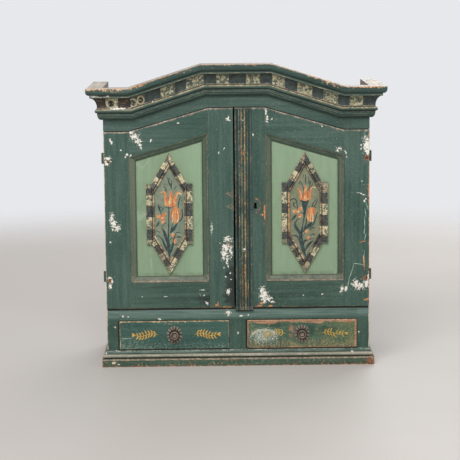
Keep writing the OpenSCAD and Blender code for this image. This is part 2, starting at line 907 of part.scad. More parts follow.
module rail_with_tenons(outline) {
    difference() {
        union() {
            slab(y_door, door_t) polygon(outline);
            intersection() {
                union() {
                    tenons(shoulder_x, 1, outer_tenon_z, 0);
                    tenons(crest_x, -1, inner_tenon_z, 0);
                }
                box(0, half_w, y_door, y_door_back,
                    outline[0][1] > panel_low ? panel_low : 0,
                    outline[0][1] > panel_low ? 2 * crest_z : panel_low);
            }
        }
        panel_groove();
    }
}

module top_rail() {
    rail_with_tenons([
        [crest_x, panel_crest], [shoulder_x, panel_shoulder],
        [shoulder_x, shoulder_z], [crest_x, crest_z]
    ]);
}

module bottom_rail() {
    rail_with_tenons([
        [crest_x, door_z], [shoulder_x, door_z],
        [shoulder_x, panel_low], [crest_x, panel_low]
    ]);
}

module door_panel() {
    slab(y_panel, panel_t) polygon(inset(opening, panel_play - groove_d));
}

module panel_moulding() {
    edge = inset(opening, -eps);
    inner = inset(opening, mould_w + eps);
    n = len(opening);
    for (i = [0 : n - 1]) {
        j = (i + 1) % n;
        moulding(panel_profile, opening[i], opening[j], [edge[i], edge[j], inner[j], inner[i]], y_panel);
    }
}

// Hexagon frame of two upright strips with square ears and four slanted strips
module hexagon() {
    neck = hex_neck_w / 2;
    side_x = hex_w / 2;
    side_z = hex_side_h / 2;
    tip = hex_h / 2;
    in_x = side_x - hex_upright_w;
    slope = atan2(tip - side_z, neck);
    in_tip = tip - hex_slant_w / cos(slope);
    in_z = in_tip - in_x * tan(slope);
    middle = [hex_x, hex_z];
    // Corner where two strips meet, carried past the outer edge
    past = [neck, side_z] + 0.1 * [neck - in_x, side_z - in_z];
    for (u = [-1, 1]) {
        cell = [
            [u * in_x, -u * in_z], [u * neck, -u * side_z], [u * (side_x + eps), -u * side_z],
            [u * (side_x + eps), u * side_z], [u * neck, u * side_z], [u * in_x, u * in_z]
        ];
        moulding(hex_profile(hex_upright_w), middle + [u * side_x, -u * side_z],
            middle + [u * side_x, u * side_z], [for (p = cell) middle + p], y_panel);
        for (v = [-1, 1]) {
            slant_cell = [
                [0, v * in_tip], [0, v * (tip + 4 * eps)], [u * past[0], v * past[1]], [u * in_x, v * in_z]
            ];
            from = middle + (u * v > 0 ? [u * neck, v * side_z] : [0, v * tip]);
            to = middle + (u * v > 0 ? [0, v * tip] : [u * neck, v * side_z]);
            moulding(hex_profile(hex_slant_w), from, to, [for (p = slant_cell) middle + p], y_panel);
        }
    }
}

module left_outer_stile() {
    color(green) on_side(-1) outer_stile();
}

module left_inner_stile() {
    color(green) on_side(-1) inner_stile(left_edge);
}

module left_top_rail() {
    color(green) on_side(-1) top_rail();
}

module left_bottom_rail() {
    color(green) on_side(-1) bottom_rail();
}

module left_panel() {
    color(panel_green) on_side(-1) door_panel();
}

module left_panel_moulding() {
    color(moulding_green) on_side(-1) panel_moulding();
}

module left_hexagon() {
    color(dark_paint) on_side(-1) hexagon();
}

module left_hinge_leaves() {
    color(iron) on_side(-1) door_leaves();
}

module left_hinge_nails() {
    color(iron) on_side(-1) door_nails();
}

module right_outer_stile() {
    color(green) outer_stile();
}

module keyhole(y0, y1) {
    for (k = [-1, 1]) rod_y(key_x, y0, y1, key_z + k * keyhole_pitch / 2, keyhole_r);
    box(key_x - key_slot_w / 2, key_x + key_slot_w / 2, y0, y1,
        key_z - keyhole_pitch / 2, key_z + keyhole_pitch / 2);
}

module right_inner_stile() {
    color(green) difference() {
        inner_stile(right_edge);
        keyhole(y_door - eps, y_door_back + eps);
    }
}

module right_top_rail() {
    color(green) top_rail();
}

module right_bottom_rail() {
    color(green) bottom_rail();
}

module right_panel() {
    color(panel_green) door_panel();
}

module right_panel_moulding() {
    color(moulding_green) panel_moulding();
}

module right_hexagon() {
    color(dark_paint) hexagon();
}

module right_hinge_leaves() {
    color(iron) door_leaves();
}

module right_hinge_nails() {
    color(iron) door_nails();
}

module centre_strip() {
    foot_z = door_z - strip_drop;
    color(green) {
        translate([right_edge, y_door, foot_z + foot_h - eps])
            linear_extrude(crest_z - strip_top_set - foot_z - foot_h + eps)
                polygon([for (p = strip_profile) [p[0], -p[1]]]);
        box(right_edge, right_edge + strip_w, y_door - foot_t, y_door, foot_z, foot_z + foot_h);
    }
}

// Lock, keyhole plate, keeper and bolts
module keyhole_plate() {
    half_h = plate_h / 2;
    half_plate = plate_w / 2;
    // Radius of the two arcs that meet in a point at the top and at the bottom
    oval_r = (half_h * half_h + half_plate * half_plate) / (2 * half_plate);
    color(iron) difference() {
        intersection() {
            rod_y(key_x + oval_r - half_plate, y_door - plate_t, y_door, key_z, oval_r);
            rod_y(key_x - oval_r + half_plate, y_door - plate_t, y_door, key_z, oval_r);
            box(right_edge + strip_w + plate_gap, key_x + plate_w, y_door - 2 * plate_t, y_door,
                key_z - plate_h, key_z + plate_h);
        }
        keyhole(y_door - 2 * plate_t, y_door + eps);
    }
}

lock_x0 = right_edge + lock_in;
bolt_x0 = lock_x0 + bolt_slack;

module lock_case() {
    color(iron) difference() {
        box(lock_x0, lock_x0 + lock_w, y_door_back, y_door_back + lock_t,
            key_z - lock_h / 2, key_z + lock_h / 2);
        box(lock_x0 - eps, bolt_x0 + bolt_len + bolt_slack,
            y_door_back + bolt_y - bolt_t / 2 - bolt_slack, y_door_back + bolt_y + bolt_t / 2 + bolt_slack,
            bolt_z - bolt_h / 2 - bolt_slack, bolt_z + bolt_h / 2 + bolt_slack);
        keyhole(y_door_back - eps, y_door_back + bolt_y + bolt_t / 2);
    }
}

module lock_bolt() {
    y = y_door_back + bolt_y;
    color(iron) box(bolt_x0, bolt_x0 + bolt_len, y - bolt_t / 2, y + bolt_t / 2,
        bolt_z - bolt_h / 2, bolt_z + bolt_h / 2);
}

module lock_keeper() {
    x1 = -left_edge - keeper_in;
    y = y_door_back + bolt_y;
    color(iron) difference() {
        box(x1 - keeper_w, x1, y_door_back, y_door_back + lock_t,
            bolt_z - keeper_h / 2, bolt_z + keeper_h / 2);
        box(x1 - bolt_throw, x1 + eps, y - bolt_t / 2 - 2 * bolt_slack, y + bolt_t / 2 + 2 * bolt_slack,
            bolt_z - bolt_h / 2 - 2 * bolt_slack, bolt_z + bolt_h / 2 + 2 * bolt_slack);
    }
}

module rod_guides() {
    color(iron) for (k = [0, 1]) {
        z = door_z + staple_z + k * staple_pitch;
        difference() {
            box(rod_x - staple_w / 2, rod_x + staple_w / 2, y_door_back, y_door_back + staple_t,
                z - staple_h / 2, z + staple_h / 2);
            translate([rod_x, rod_y0, z - staple_h]) cylinder(r = rod_r + rod_clear, h = 2 * staple_h);
        }
    }
}

module rod_bolt() {
    z0 = door_z + rod_up;
    grip_z = door_z + staple_z + staple_pitch - staple_h / 2 - grip_r - 2;
    color(iron) {
        translate([rod_x, rod_y0, z0]) cylinder(r = rod_r, h = rod_len);
        rod_y(rod_x, rod_y0, rod_y0 + rod_r + grip_len, grip_z, grip_r);
    }
}

// Drawers, drawn on the right and mirrored for the left
module drawer_bottom_slot(spare) {
    x0 = box_x0 + drawer_side_t - drawer_groove;
    x1 = box_x1 - drawer_side_t + drawer_groove;
    y0 = drawer_y0 + drawer_front_t - drawer_groove;
    z0 = box_z + drawer_bottom_up;
    box(x0 - spare, x1 + spare, y0 - spare, drawer_y1 + (spare > 0 ? eps : 0),
        z0 - spare, z0 + drawer_bottom_t + spare);
}

module drawer_front() {
    difference() {
        box(drawer_x0, drawer_x1, drawer_y0, drawer_y0 + drawer_front_t,
            floor_z + drawer_gap, floor_z + drawer_gap + drawer_h);
        drawer_bottom_slot(groove_slack);
    }
}

module drawer_sides() {
    difference() {
        for (x = [box_x0, box_x1 - drawer_side_t])
            box(x, x + drawer_side_t, drawer_y0 + drawer_front_t, drawer_y1, box_z, box_z + drawer_side_h);
        drawer_bottom_slot(groove_slack);
    }
}

module drawer_back() {
    box(box_x0 + drawer_side_t, box_x1 - drawer_side_t, drawer_y1 - drawer_back_t, drawer_y1,
        box_z + drawer_bottom_up + drawer_bottom_t, box_z + drawer_side_h);
}

module drawer_pull() {
    translate([pull_x, drawer_y0, pull_z]) rotate([90, 0, 0]) {
        linear_extrude(rose_t) union() {
            polygon(arc_closed(rose_w / 2 - lobe_r, rose_h / 2 - lobe_r));
            for (i = [0 : rose_lobes - 1]) {
                a = 90 + 360 * i / rose_lobes;
                translate([(rose_w / 2 - lobe_r) * cos(a), (rose_h / 2 - lobe_r) * sin(a)])
                    circle(r = lobe_r);
            }
        }
        translate([0, 0, rose_t]) rotate_extrude() polygon(concat(
            [[0, 0], [stem_r, 0], [stem_r, knob_h * 0.25]],
            arc(knob_r - 3, knob_h - 3, 3, 3, -60, 90),
            arc(0, knob_h, knob_r - 4, dish_d, 0, -90)
        ));
    }
}

function arc_closed(rx, ry) = [for (i = [0 : 47]) [rx * cos(i * 7.5), ry * sin(i * 7.5)]];

module left_drawer_front() {
    color(green) on_side(-1) drawer_front();
}

module left_drawer_sides() {
    color(raw) on_side(-1) drawer_sides();
}

module left_drawer_back() {
    color(raw) on_side(-1) drawer_back();
}

module left_drawer_bottom() {
    color(raw) on_side(-1) drawer_bottom_slot(0);
}

module left_drawer_pull() {
    color(iron) on_side(-1) drawer_pull();
}

module right_drawer_front() {
    color(bare) drawer_front();
}

module right_drawer_sides() {
    color(raw) drawer_sides();
}

module right_drawer_back() {
    color(raw) drawer_back();
}

module right_drawer_bottom() {
    color(raw) drawer_bottom_slot(0);
}

module right_drawer_pull() {
    color(iron) drawer_pull();
}

side_left();
side_right();
roof_board();
deck_board();
floor_board();
shelf();
shelf_cleats();
back_boards();
frieze_board();
drawer_rail();
frame_stiles();
drawer_post();
lower_rail();
drawer_partition();
drawer_guides();
base_boards();
base_mouldings();
cornice_centre();
cornice_slopes();
cornice_flats();
cornice_returns();
hinge_case_leaves();
hinge_pins();
hinge_case_nails();
left_outer_stile();
left_inner_stile();
left_top_rail();
left_bottom_rail();
left_panel();
left_panel_moulding();
left_hexagon();
left_hinge_leaves();
left_hinge_nails();
rod_guides();
lock_keeper();
rod_bolt();
right_outer_stile();
right_inner_stile();
right_top_rail();
right_bottom_rail();
right_panel();
right_panel_moulding();
right_hexagon();
right_hinge_leaves();
right_hinge_nails();
centre_strip();
keyhole_plate();
lock_case();
lock_bolt();
left_drawer_front();
left_drawer_sides();
left_drawer_back();
left_drawer_bottom();
left_drawer_pull();
right_drawer_front();
right_drawer_sides();
right_drawer_back();
right_drawer_bottom();
right_drawer_pull();
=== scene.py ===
"""Looks of the painted two-door cupboard: eased boards, worn paint, mouldings, brushwork and iron."""

import functools
import json
import math
import random

import bmesh
import bpy
from mathutils import Matrix, Vector, noise

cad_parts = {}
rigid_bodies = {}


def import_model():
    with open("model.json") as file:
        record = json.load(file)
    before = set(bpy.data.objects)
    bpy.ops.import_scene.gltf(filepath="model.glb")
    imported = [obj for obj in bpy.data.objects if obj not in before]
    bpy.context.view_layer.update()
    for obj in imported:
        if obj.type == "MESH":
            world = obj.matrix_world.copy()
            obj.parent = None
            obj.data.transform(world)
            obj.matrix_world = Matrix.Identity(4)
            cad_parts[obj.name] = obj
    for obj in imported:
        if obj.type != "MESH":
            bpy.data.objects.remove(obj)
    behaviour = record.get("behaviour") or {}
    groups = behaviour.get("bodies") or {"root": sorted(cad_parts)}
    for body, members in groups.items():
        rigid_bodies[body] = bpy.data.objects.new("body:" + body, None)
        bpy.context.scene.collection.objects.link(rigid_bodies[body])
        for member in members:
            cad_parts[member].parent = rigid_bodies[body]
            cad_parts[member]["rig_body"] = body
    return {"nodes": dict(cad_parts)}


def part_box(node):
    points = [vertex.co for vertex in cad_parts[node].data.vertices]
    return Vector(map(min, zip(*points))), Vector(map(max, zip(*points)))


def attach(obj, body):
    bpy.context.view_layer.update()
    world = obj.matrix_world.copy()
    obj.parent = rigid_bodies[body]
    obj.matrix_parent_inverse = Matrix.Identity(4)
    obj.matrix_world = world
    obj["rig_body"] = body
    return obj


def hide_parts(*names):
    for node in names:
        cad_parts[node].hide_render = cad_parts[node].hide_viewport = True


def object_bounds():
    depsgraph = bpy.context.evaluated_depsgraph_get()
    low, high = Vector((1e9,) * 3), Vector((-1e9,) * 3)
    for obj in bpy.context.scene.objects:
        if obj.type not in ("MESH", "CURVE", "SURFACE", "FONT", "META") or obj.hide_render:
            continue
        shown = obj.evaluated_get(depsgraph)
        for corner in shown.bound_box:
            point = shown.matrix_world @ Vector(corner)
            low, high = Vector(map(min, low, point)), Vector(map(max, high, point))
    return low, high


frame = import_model()
cad_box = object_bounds()
nodes = frame["nodes"]
MM = 0.001

# Places shared with the solids, in metres
BACK_Y = 0.1935
FACE_Y = -0.1425
DOOR_Y = -0.1433
DOOR_BACK_Y = -0.1198
DRAWER_Y = -0.1455
DRAWER_BACK_Y = -0.1285
PANEL_Y = -0.1333
CASE_X = 0.421
SHOULDER_X = 0.341
CREST_X = 0.090
DOOR_LOW = 0.188
SHOULDER_Z = 0.756
CREST_Z = 0.829
PANEL_LOW = 0.271
HEX_X = 0.2155
HEX_Z = 0.49225
DRAWER_IN, DRAWER_OUT = 0.029, 0.381
DRAWER_LOW, DRAWER_TOP = 0.055, 0.146
PULL_X, PULL_Z = 0.205, 0.1005
SIDES = ((-1, "left"), (1, "right"))


def paint(colour):
    """A colour given as 0 to 255, as it looks, in the shader's own scale. One made by nodes stays."""
    if isinstance(colour, Value):
        return colour
    channels = [c / 255 for c in colour]
    linear = [c / 12.92 if c <= 0.04045 else ((c + 0.055) / 1.055) ** 2.4 for c in channels]
    return (*linear, 1.0)


class Value:
    """A number, colour or vector of a finish. Arithmetic on it adds the nodes."""

    def __init__(self, finish, socket):
        self.finish = finish
        self.socket = socket

    def math(self, operation, *others, clamp=False):
        numbers = dict(enumerate((self,) + others))
        return self.finish.node("Math", {"operation": operation, "use_clamp": clamp}, numbers)

    def __add__(self, other):
        return self.math("ADD", other)

    def __sub__(self, other):
        return self.math("SUBTRACT", other)

    def __rsub__(self, other):
        return self.finish.node("Math", {"operation": "SUBTRACT"}, {0: other, 1: self})

    def __mul__(self, other):
        return self.math("MULTIPLY", other)

    __radd__ = __add__
    __rmul__ = __mul__

    def least(self, other):
        return self.math("MINIMUM", other)

    def most(self, other):
        return self.math("MAXIMUM", other)

    def size(self):
        return self.math("ABSOLUTE")

    def held(self):
        """The number kept between 0 and 1."""
        return self.math("ADD", 0.0, clamp=True)

    def rise(self, low, high):
        """0 up to low and 1 from high on, with a soft step between; low may be the larger one."""
        limits = {"Value": self, "From Min": low, "From Max": high}
        return self.finish.node("MapRange", {"interpolation_type": "SMOOTHSTEP"}, limits)

    def band(self, low, full, gone, last):
        """1 from full up to last, with a soft step down to 0 at low and one to 0 at gone, beyond last."""
        return self.rise(low, full) * self.rise(gone, last)

    def mix(self, first, second):
        """first where the number is 0 and second where it is 1, for colours."""
        return self.finish.node("Mix", {"data_type": "RGBA"}, {0: self, 6: paint(first), 7: paint(second)}, 2)

    def times(self, vector):
        return self.finish.node("VectorMath", {"operation": "MULTIPLY"}, {0: self, 1: vector})


class Finish:
    """One finish: a material, the coordinates that it is painted by, and the nodes added to it."""

    def __init__(self, name, shift=0.0):
        self.material = bpy.data.materials.new(name)
        self.material.use_nodes = True
        self.tree = self.material.node_tree
        self.shader = self.tree.nodes["Principled BSDF"]
        self.place = self.node("TexCoord", out="Object")
        away = (shift, 0.7 * shift, 1.3 * shift)
        self.drift = self.node("VectorMath", {"operation": "ADD"}, {0: self.place, 1: away})
        self.x, self.y, self.z = (self.node("SeparateXYZ", {}, {0: self.place}, out) for out in range(3))

    def node(self, kind, settings=(), values=(), out=0):
        made = self.tree.nodes.new("ShaderNode" + kind)
        for key, value in dict(settings).items():
            if key in ("stops", "steps"):
                ramp = made.color_ramp
                ramp.interpolation = "CONSTANT" if key == "steps" else "LINEAR"
                ramp.elements.remove(ramp.elements[1])
                ramp.elements[0].position, ramp.elements[0].color = value[0]
                for position, colour in value[1:]:
                    ramp.elements.new(position).color = colour
            else:
                setattr(made, key, value)
        for key, value in dict(values).items():
            if isinstance(value, Value):
                self.tree.links.new(value.socket, made.inputs[key])
            else:
                made.inputs[key].default_value = value
        return Value(self, made.outputs[out])

    def noise(self, scale, stretch=None, detail=3.0, rough=0.55, warp=0.0):
        vector = self.drift if stretch is None else self.drift.times(stretch)
        values = {"Vector": vector, "Scale": scale, "Detail": detail, "Roughness": rough, "Distortion": warp}
        return self.node("TexNoise", {}, values)

    def cells(self, scale, out="Distance", stretch=None):
        vector = self.drift if stretch is None else self.drift.times(stretch)
        return self.node("TexVoronoi", {}, {"Vector": vector, "Scale": scale}, out)

    def ramp(self, number, *stops):
        """Colours along a number, each given with the place where it is full."""
        stops = [(at, paint(colour)) for at, colour in stops]
        return self.node("ValToRGB", {"stops": stops}, {"Fac": number})

    def attribute(self, name):
        return self.node("Attribute", {"attribute_name": name}, out="Fac")

    def spot(self, x, z, wide, high, turn=0.0, y=DOOR_Y, deep=0.012):
        """Distance from a place on the front, in shares of an ellipse's half sizes in metres."""
        values = {
            "Vector": self.place,
            "Location": (x, y, z),
            "Rotation": (0.0, math.radians(-turn), 0.0),
            "Scale": (wide, deep, high),
        }
        near = self.node("Mapping", {"vector_type": "TEXTURE"}, values)
        return self.node("VectorMath", {"operation": "LENGTH"}, {0: near}, "Value")

    def spots(self, marks, **place):
        """The least distance from a list of marks, given in mm as x, z, half width, half height, turn."""
        found = []
        for x, z, wide, high, *turn in marks:
            found.append(self.spot(x * MM, z * MM, wide * MM, high * MM, *turn, **place))
        return functools.reduce(Value.least, found)

    def lay(self, mask, colour):
        """Lays a colour over what is there, as far as the mask goes."""
        self.colour = mask.mix(self.colour, colour)

    def done(self, rough, height=None, depth=0.0005, **fixed):
        for name, value in (("Base Color", self.colour), ("Roughness", rough)):
            if isinstance(value, Value):
                self.tree.links.new(value.socket, self.shader.inputs[name])
            else:
                self.shader.inputs[name].default_value = value
        if height is not None:
            bump = self.node("Bump", {}, {"Height": height, "Distance": depth})
            self.tree.links.new(bump.socket, self.shader.inputs["Normal"])
        self.shader.inputs["Specular IOR Level"].default_value = 0.36
        for name, value in fixed.items():
            self.shader.inputs[name].default_value = value
        return self.material


# Paint colours, as they look on the piece
CREAM = (205, 192, 152)
WHITE = (253, 251, 245)
PINE = (206, 158, 112)
OCHRE = (199, 120, 66)
RUST = (112, 66, 46)
# Near-black of painted shade, with soot
SHADE_AND_SOOT_BLACK = (33, 40, 36)


def grained(grain, along, across):
    """Scales of a noise that is stretched out along one axis."""
    return tuple(along if axis == grain else across for axis in "xyz")


def greatest(values):
    return functools.reduce(Value.most, values)


def board_paint(f, grain, shades, streaks=1.45, clouds=1.2, crumbs=0.8):
    """Brushed colour between three shades, streaked along the grain, with fine light and dark crumbs."""
    cloud = f.noise(4.2, detail=5, rough=0.6)
    streak = f.noise(1.0, grained(grain, 4, 95), 4, 0.6)
    hair = f.noise(1.0, grained(grain, 30, 420), 3, 0.6)
    tone = (0.5 + (cloud - 0.5) * clouds + (streak - 0.5) * streaks + (hair - 0.5) * 0.6).held()
    dark, middle, light = shades
    f.colour = f.ramp(tone, (0.1, dark), (0.5, middle), (0.9, light))
    crumb = f.noise(260, detail=3, rough=0.65)
    f.lay(((crumb - 0.585) * 7.0 * crumbs).held(), (124, 140, 122))
    f.lay(((0.415 - crumb) * 6.0 * crumbs).held(), (40, 50, 44))
    return streak


def broken_line(f, distance, reach, share):
    """A broken line where the distance, in metres, is less than the reach: wear, and in some tables painted
    glints and shade.
    """
    patch = f.noise(30, detail=2)
    crumb = f.noise(260, detail=3, rough=0.6)
    limit = reach * (patch * 1.6 + (share - 0.8)) - (crumb - 0.5) * reach * 2.2
    return (limit - distance).rise(-0.0002, 0.0003)


def lay_lines(f, lines):
    """Lays broken lines of wear, and in some tables painted glints and shade, each with its distance, reach,
    share and two tones; gives where they are.
    """
    shade = f.noise(120, detail=2).rise(0.35, 0.65)
    masks = []
    for distance, reach, share, pair in lines:
        masks.append(broken_line(f, distance, reach, share))
        f.lay(masks[-1], shade.mix(*pair))
    return masks


def flaked(f, near, ragged=1.0):
    """Paint lost round marks: almost whole in their middle, and peppered far beyond their rim."""
    crumb = f.noise(190, detail=6, rough=0.74)
    core = (1.0 - near * 0.82 + (crumb - 0.5) * 6.0 * ragged).rise(0.24, 0.36)
    pepper = (crumb - 0.60).rise(0.0, 0.012) * (2.5 - near).rise(0.0, 1.0) * ragged
    return core.most(pepper)


def specks(f, scale, share, radius):
    """Small round losses, one in a share of the cells."""
    pick = f.node("SeparateColor", {}, {0: f.cells(scale, "Color")})
    reach = (pick - (1.0 - share)) * (radius / share)
    return (reach - f.cells(scale)).rise(0.0, 0.03)


def wood_tone(f, grain):
    """Colour and relief of bare old pine, with its grain along one axis."""
    ring = f.noise(1.0, grained(grain, 0.9, 26), 5, 0.62, 0.8)
    bands = (ring * 24.0).math("SINE") * 0.08 + ring
    fibre = f.noise(1.0, grained(grain, 12, 330), 2)
    tone = (bands + (fibre - 0.5) * 0.28).held()
    colour = f.ramp(tone, (0.25, (118, 98, 75)), (0.5, (136, 113, 87)), (0.8, (152, 129, 101)))
    dirt = f.noise(6, detail=4).rise(0.48, 0.75) * 0.4
    return dirt.mix(colour, (70, 60, 48)), fibre * 0.5 + ring * 0.3


def behind(y):
    """A mask for what lies behind a depth."""
    return lambda f: (f.y - y).rise(0.0, 0.0003)


def bare_back(f, grain, inner, height):
    """Lays bare wood where the inner mask says, and gives the whole relief."""
    bare, relief = wood_tone(f, grain)
    within = inner(f)
    f.lay(within, bare)
    return height * (1.0 - within) + relief * within


def green_paint(name, grain, shift, shades, lines=None, chalk=(), wood=(), shade_and_soot=(), nails=(), drips=(),
                dots=0.2, over=None, inner=behind(DOOR_BACK_Y)):
    """Old green oil paint on a board, with its own marks of wear, patches of painted shade, and bare wood on
    its inner face.
    """
    f = Finish(name, shift)
    streak = board_paint(f, grain, shades)
    height = streak * 0.25
    if over is not None:
        over(f)
    # Dark patches: painted shade beside the closing strip, with some soot
    if shade_and_soot:
        dark = (1.0 - f.spots(shade_and_soot) + (f.noise(60) - 0.5) * 1.5).rise(0.0, 0.65) * 0.88
        f.lay(dark, SHADE_AND_SOOT_BLACK)
    rough = 0.5 + (f.noise(25) - 0.5) * 0.3
    for mask in lay_lines(f, lines(f) if lines else ()):
        height = height - mask * 0.5
    if dots:
        mask = specks(f, 42, dots, 0.09).most(specks(f, 110, dots * 0.6, 0.14))
        mask = mask * f.noise(9, detail=2).rise(0.42, 0.6)
        f.lay(mask * 0.8, CREAM)
        height = height - mask * 0.4
    if wood:
        mask = flaked(f, f.spots(wood), 0.6)
        grainy = f.noise(1.0, (60, 60, 400) if grain == "x" else (400, 60, 60), 3)
        f.lay(mask, grainy.rise(0.35, 0.65).mix(OCHRE, PINE))
        height = height - mask
    if chalk:
        mask = flaked(f, f.spots(chalk))
        hue = f.noise(330, detail=2).rise(0.38, 0.58)
        f.lay(mask, hue.mix((232, 224, 203), WHITE))
        rough = rough + mask * 0.3
        height = height - mask
    if drips:
        thin = (f.spots(drips) + (f.noise(120, detail=3) - 0.5) * 0.5).rise(1.0, 0.8)
        f.lay(thin * 0.85, f.noise(70).rise(0.4, 0.6).mix((132, 168, 148), (196, 214, 196)))
    if nails:
        near = f.spots(nails) + (f.noise(150, detail=4) - 0.5) * 0.9
        rusty = f.noise(220, detail=3).rise(0.35, 0.65).mix(RUST, (188, 120, 80))
        f.lay(near.rise(1.05, 0.9), rusty)
        f.lay(near.rise(0.70, 0.50) * 0.85, (52, 50, 44))
    if inner is not None:
        height = bare_back(f, grain, inner, height)
    return f.done(rough, height, 0.0004)


def softwood(name, grain, shift, boards=0):
    """Bare old pine, darkened by age, with a few knots; of several upright boards each has its own grain."""
    f = Finish(name, shift)
    if boards:
        which = ((f.x + CASE_X) * (boards / (2 * CASE_X))).math("FLOOR")
        apart = f.node("CombineXYZ", {}, {1: which, 2: which * 3.7})
        f.drift = f.node("VectorMath", {"operation": "ADD"}, {0: f.drift, 1: apart})
    f.colour, relief = wood_tone(f, grain)
    knots = (0.10 - f.cells(3.2, stretch=grained(grain, 0.35, 1.0))).rise(0.0, 0.05)
    f.lay(knots * 0.75, (70, 44, 28))
    if boards:
        f.lay((which - 1.0).size() * 0.28, (84, 70, 56))
    return f.done(0.72, relief, 0.0004)


def forged(name, shift, rust, hollows=None):
    """Hand-forged iron, brown with old rust; hollows, where given, get painted shade."""
    f = Finish(name, shift)
    blotch = f.noise(85, detail=4, rough=0.6)
    pits = f.noise(420, detail=3)
    f.colour = f.ramp(blotch, (0.3, (78, 69, 61)), (0.5, (108, 97, 86)), (0.75, (146, 132, 116)))
    red = (blotch + (pits - 0.5) * 0.8).rise(0.55, 0.75) * rust
    f.lay(red, (122, 84, 62))
    if hollows is not None:
        lit = f.noise(140, detail=3).rise(0.35, 0.6)
        f.lay(lit * 0.55, (172, 160, 144))
        # Painted shade, with dirt, in the hollows
        f.lay((hollows(f) * 0.92).held(), (20, 17, 16))
    return f.done(0.45 + pits * 0.35, pits * 0.6 + blotch * 0.4, 0.0005, Metallic=0.2)


def door_top(f):
    """Height left above a place on a door's face, up to its broken top edge; depth on that edge."""
    slope = (CREST_Z - SHOULDER_Z) / (SHOULDER_X - CREST_X)
    line = (SHOULDER_X - f.x.size()) * slope + SHOULDER_Z
    return (line.most(SHOULDER_Z).least(CREST_Z) - f.z).most(f.y - DOOR_Y - 0.002)


# How near counts as on a face, and the least length of an edge that is rounded, in metres
NEAR = 2e-5
LEAST_EDGE = 0.011


def smoothed(form, mesh, angle):
    """Writes a form into its mesh, shaded smooth but for the edges sharper than an angle in degrees."""
    form.to_mesh(mesh)
    form.free()
    for face in mesh.polygons:
        face.use_smooth = True
    mesh.set_sharp_from_angle(angle=math.radians(angle))


def shape(name, points, faces, finish, body, replaced, smooth, values=None):
    """A mesh piece with its finish, the body that it rides on and the solids that it stands for."""
    mesh = bpy.data.meshes.new(name)
    mesh.from_pydata([tuple(p) for p in points], [], faces)
    for key, numbers in (values or {}).items():
        mesh.attributes.new(key, "FLOAT", "POINT").data.foreach_set("value", numbers)
    form = bmesh.new()
    form.from_mesh(mesh)
    bmesh.ops.recalc_face_normals(form, faces=form.faces)
    smoothed(form, mesh, smooth)
    piece = bpy.data.objects.new(name, mesh)
    bpy.context.scene.collection.objects.link(piece)
    mesh.materials.append(finish)
    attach(piece, body)
    if replaced:
        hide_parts(*replaced)


def eased(node, finish, rules, width):
    """A copy of a board in its place, with its long edges rounded; rules give some edges their own width."""
    source = nodes[node]
    mesh = source.data.copy()
    mesh.name = node + "_board"
    form = bmesh.new()
    form.from_mesh(mesh)
    bmesh.ops.remove_doubles(form, verts=form.verts, dist=2e-6)
    bmesh.ops.dissolve_limit(form, angle_limit=math.radians(1), verts=form.verts, edges=form.edges)
    low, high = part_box(node)

    def outer(edge):
        """Whether an edge is long and lies on two sides of the board's box, or on its front."""
        ends = [v.co for v in edge.verts]
        sides = [(axis, limit[axis]) for axis in range(3) for limit in (low, high)]
        planes = sum(all(abs(co[axis] - limit) < NEAR for co in ends) for axis, limit in sides)
        in_front = all(abs(co.y - low.y) < NEAR for co in ends)
        return edge.calc_length() > LEAST_EDGE and (planes >= 2 or in_front)

    for test, size, steps in [*rules, (lambda co: True, width, 2)]:
        chosen = [e for e in form.edges if len(e.link_faces) == 2 and e.calc_face_angle(0) > math.radians(40)
                  and outer(e) and all(test(v.co) for v in e.verts)]
        if chosen:
            bmesh.ops.bevel(form, geom=chosen, offset=size * MM, segments=steps, profile=0.5,
                            affect="EDGES", clamp_overlap=True)
    bmesh.ops.dissolve_degenerate(form, dist=3e-6, edges=form.edges)
    smoothed(form, mesh, 50)
    mesh.materials.clear()
    mesh.materials.append(finish)
    piece = bpy.data.objects.new(node + "_board", mesh)
    bpy.context.scene.collection.objects.link(piece)
    weights = piece.modifiers.new("even_faces", "WEIGHTED_NORMAL")
    weights.keep_sharp = True
    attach(piece, source["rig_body"])
    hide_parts(node)


# Sections of the mouldings, in mm, as [projection, height or distance from the outer edge]
def arc(cx, cy, rx, ry, first, last, steps=9):
    turns = [math.radians(first + (last - first) * i / steps) for i in range(steps + 1)]
    return [(cx + rx * math.cos(t), cy + ry * math.sin(t)) for t in turns]


CORNICE = (
    [(0, 0), (5, 0)] + arc(5, 20, 12, 20, -90, 0) + arc(18, 28, 6, 6, -90, 90) + [(17, 34), (17, 36)]
    + arc(38.5, 38, 21.5, 32, 180, 90, 14) + [(38.5, 78.5)] + arc(40, 91.5, 11, 13, -90, 0)
    + [(51, 98.6), (49.8, 100), (0, 100)]
)
BASE_MOULD = (
    [(0, 0)] + arc(6.5, 6.5, 6.5, 6.5, -90, 90, 12) + arc(9, 26, 7.5, 12, 270, 180, 8) + [(0, 26)]
)
PANEL_MOULD = (
    [(0, 0), (9, 0)] + arc(9, 2, 2, 2, -90, 90, 6)[1:]
    + [(8, 4.6), (5.4, 11.4), (2.6, 18.6), (2, 19.4), (2, 21), (0, 21)]
)
HEX_TIP = 195.0
HEX_SIDE = 96.5
HEX_HALF = 74.0
HEX_NECK = 57.0
HEX_IN = (47.5, 67.0)
HEX_SLANT = 23.0
HEX_UPRIGHT = 26.5
HEX_SLOPE = math.atan2(HEX_TIP - HEX_SIDE, HEX_NECK)
EAR = 17


def strip_section(width):
    """Section of a block-painted strip, with its rounded outer edge and its inner bead."""
    ear = [(9, EAR)] if width > HEX_SLANT else []
    back = [(0, EAR)] if width > HEX_SLANT else []
    edge = [(0, 0), (7.7, 0), (8.7, 0.4), (9, 1.5)]
    step = [(9, width - 9.2), (8.6, width - 8.7), (3.5, width - 7.5)]
    bead = arc(2.75, width - 3.25, 3.25, 3.25, -90, 90, 8)
    return edge + ear + step + bead + [(0, width)] + back


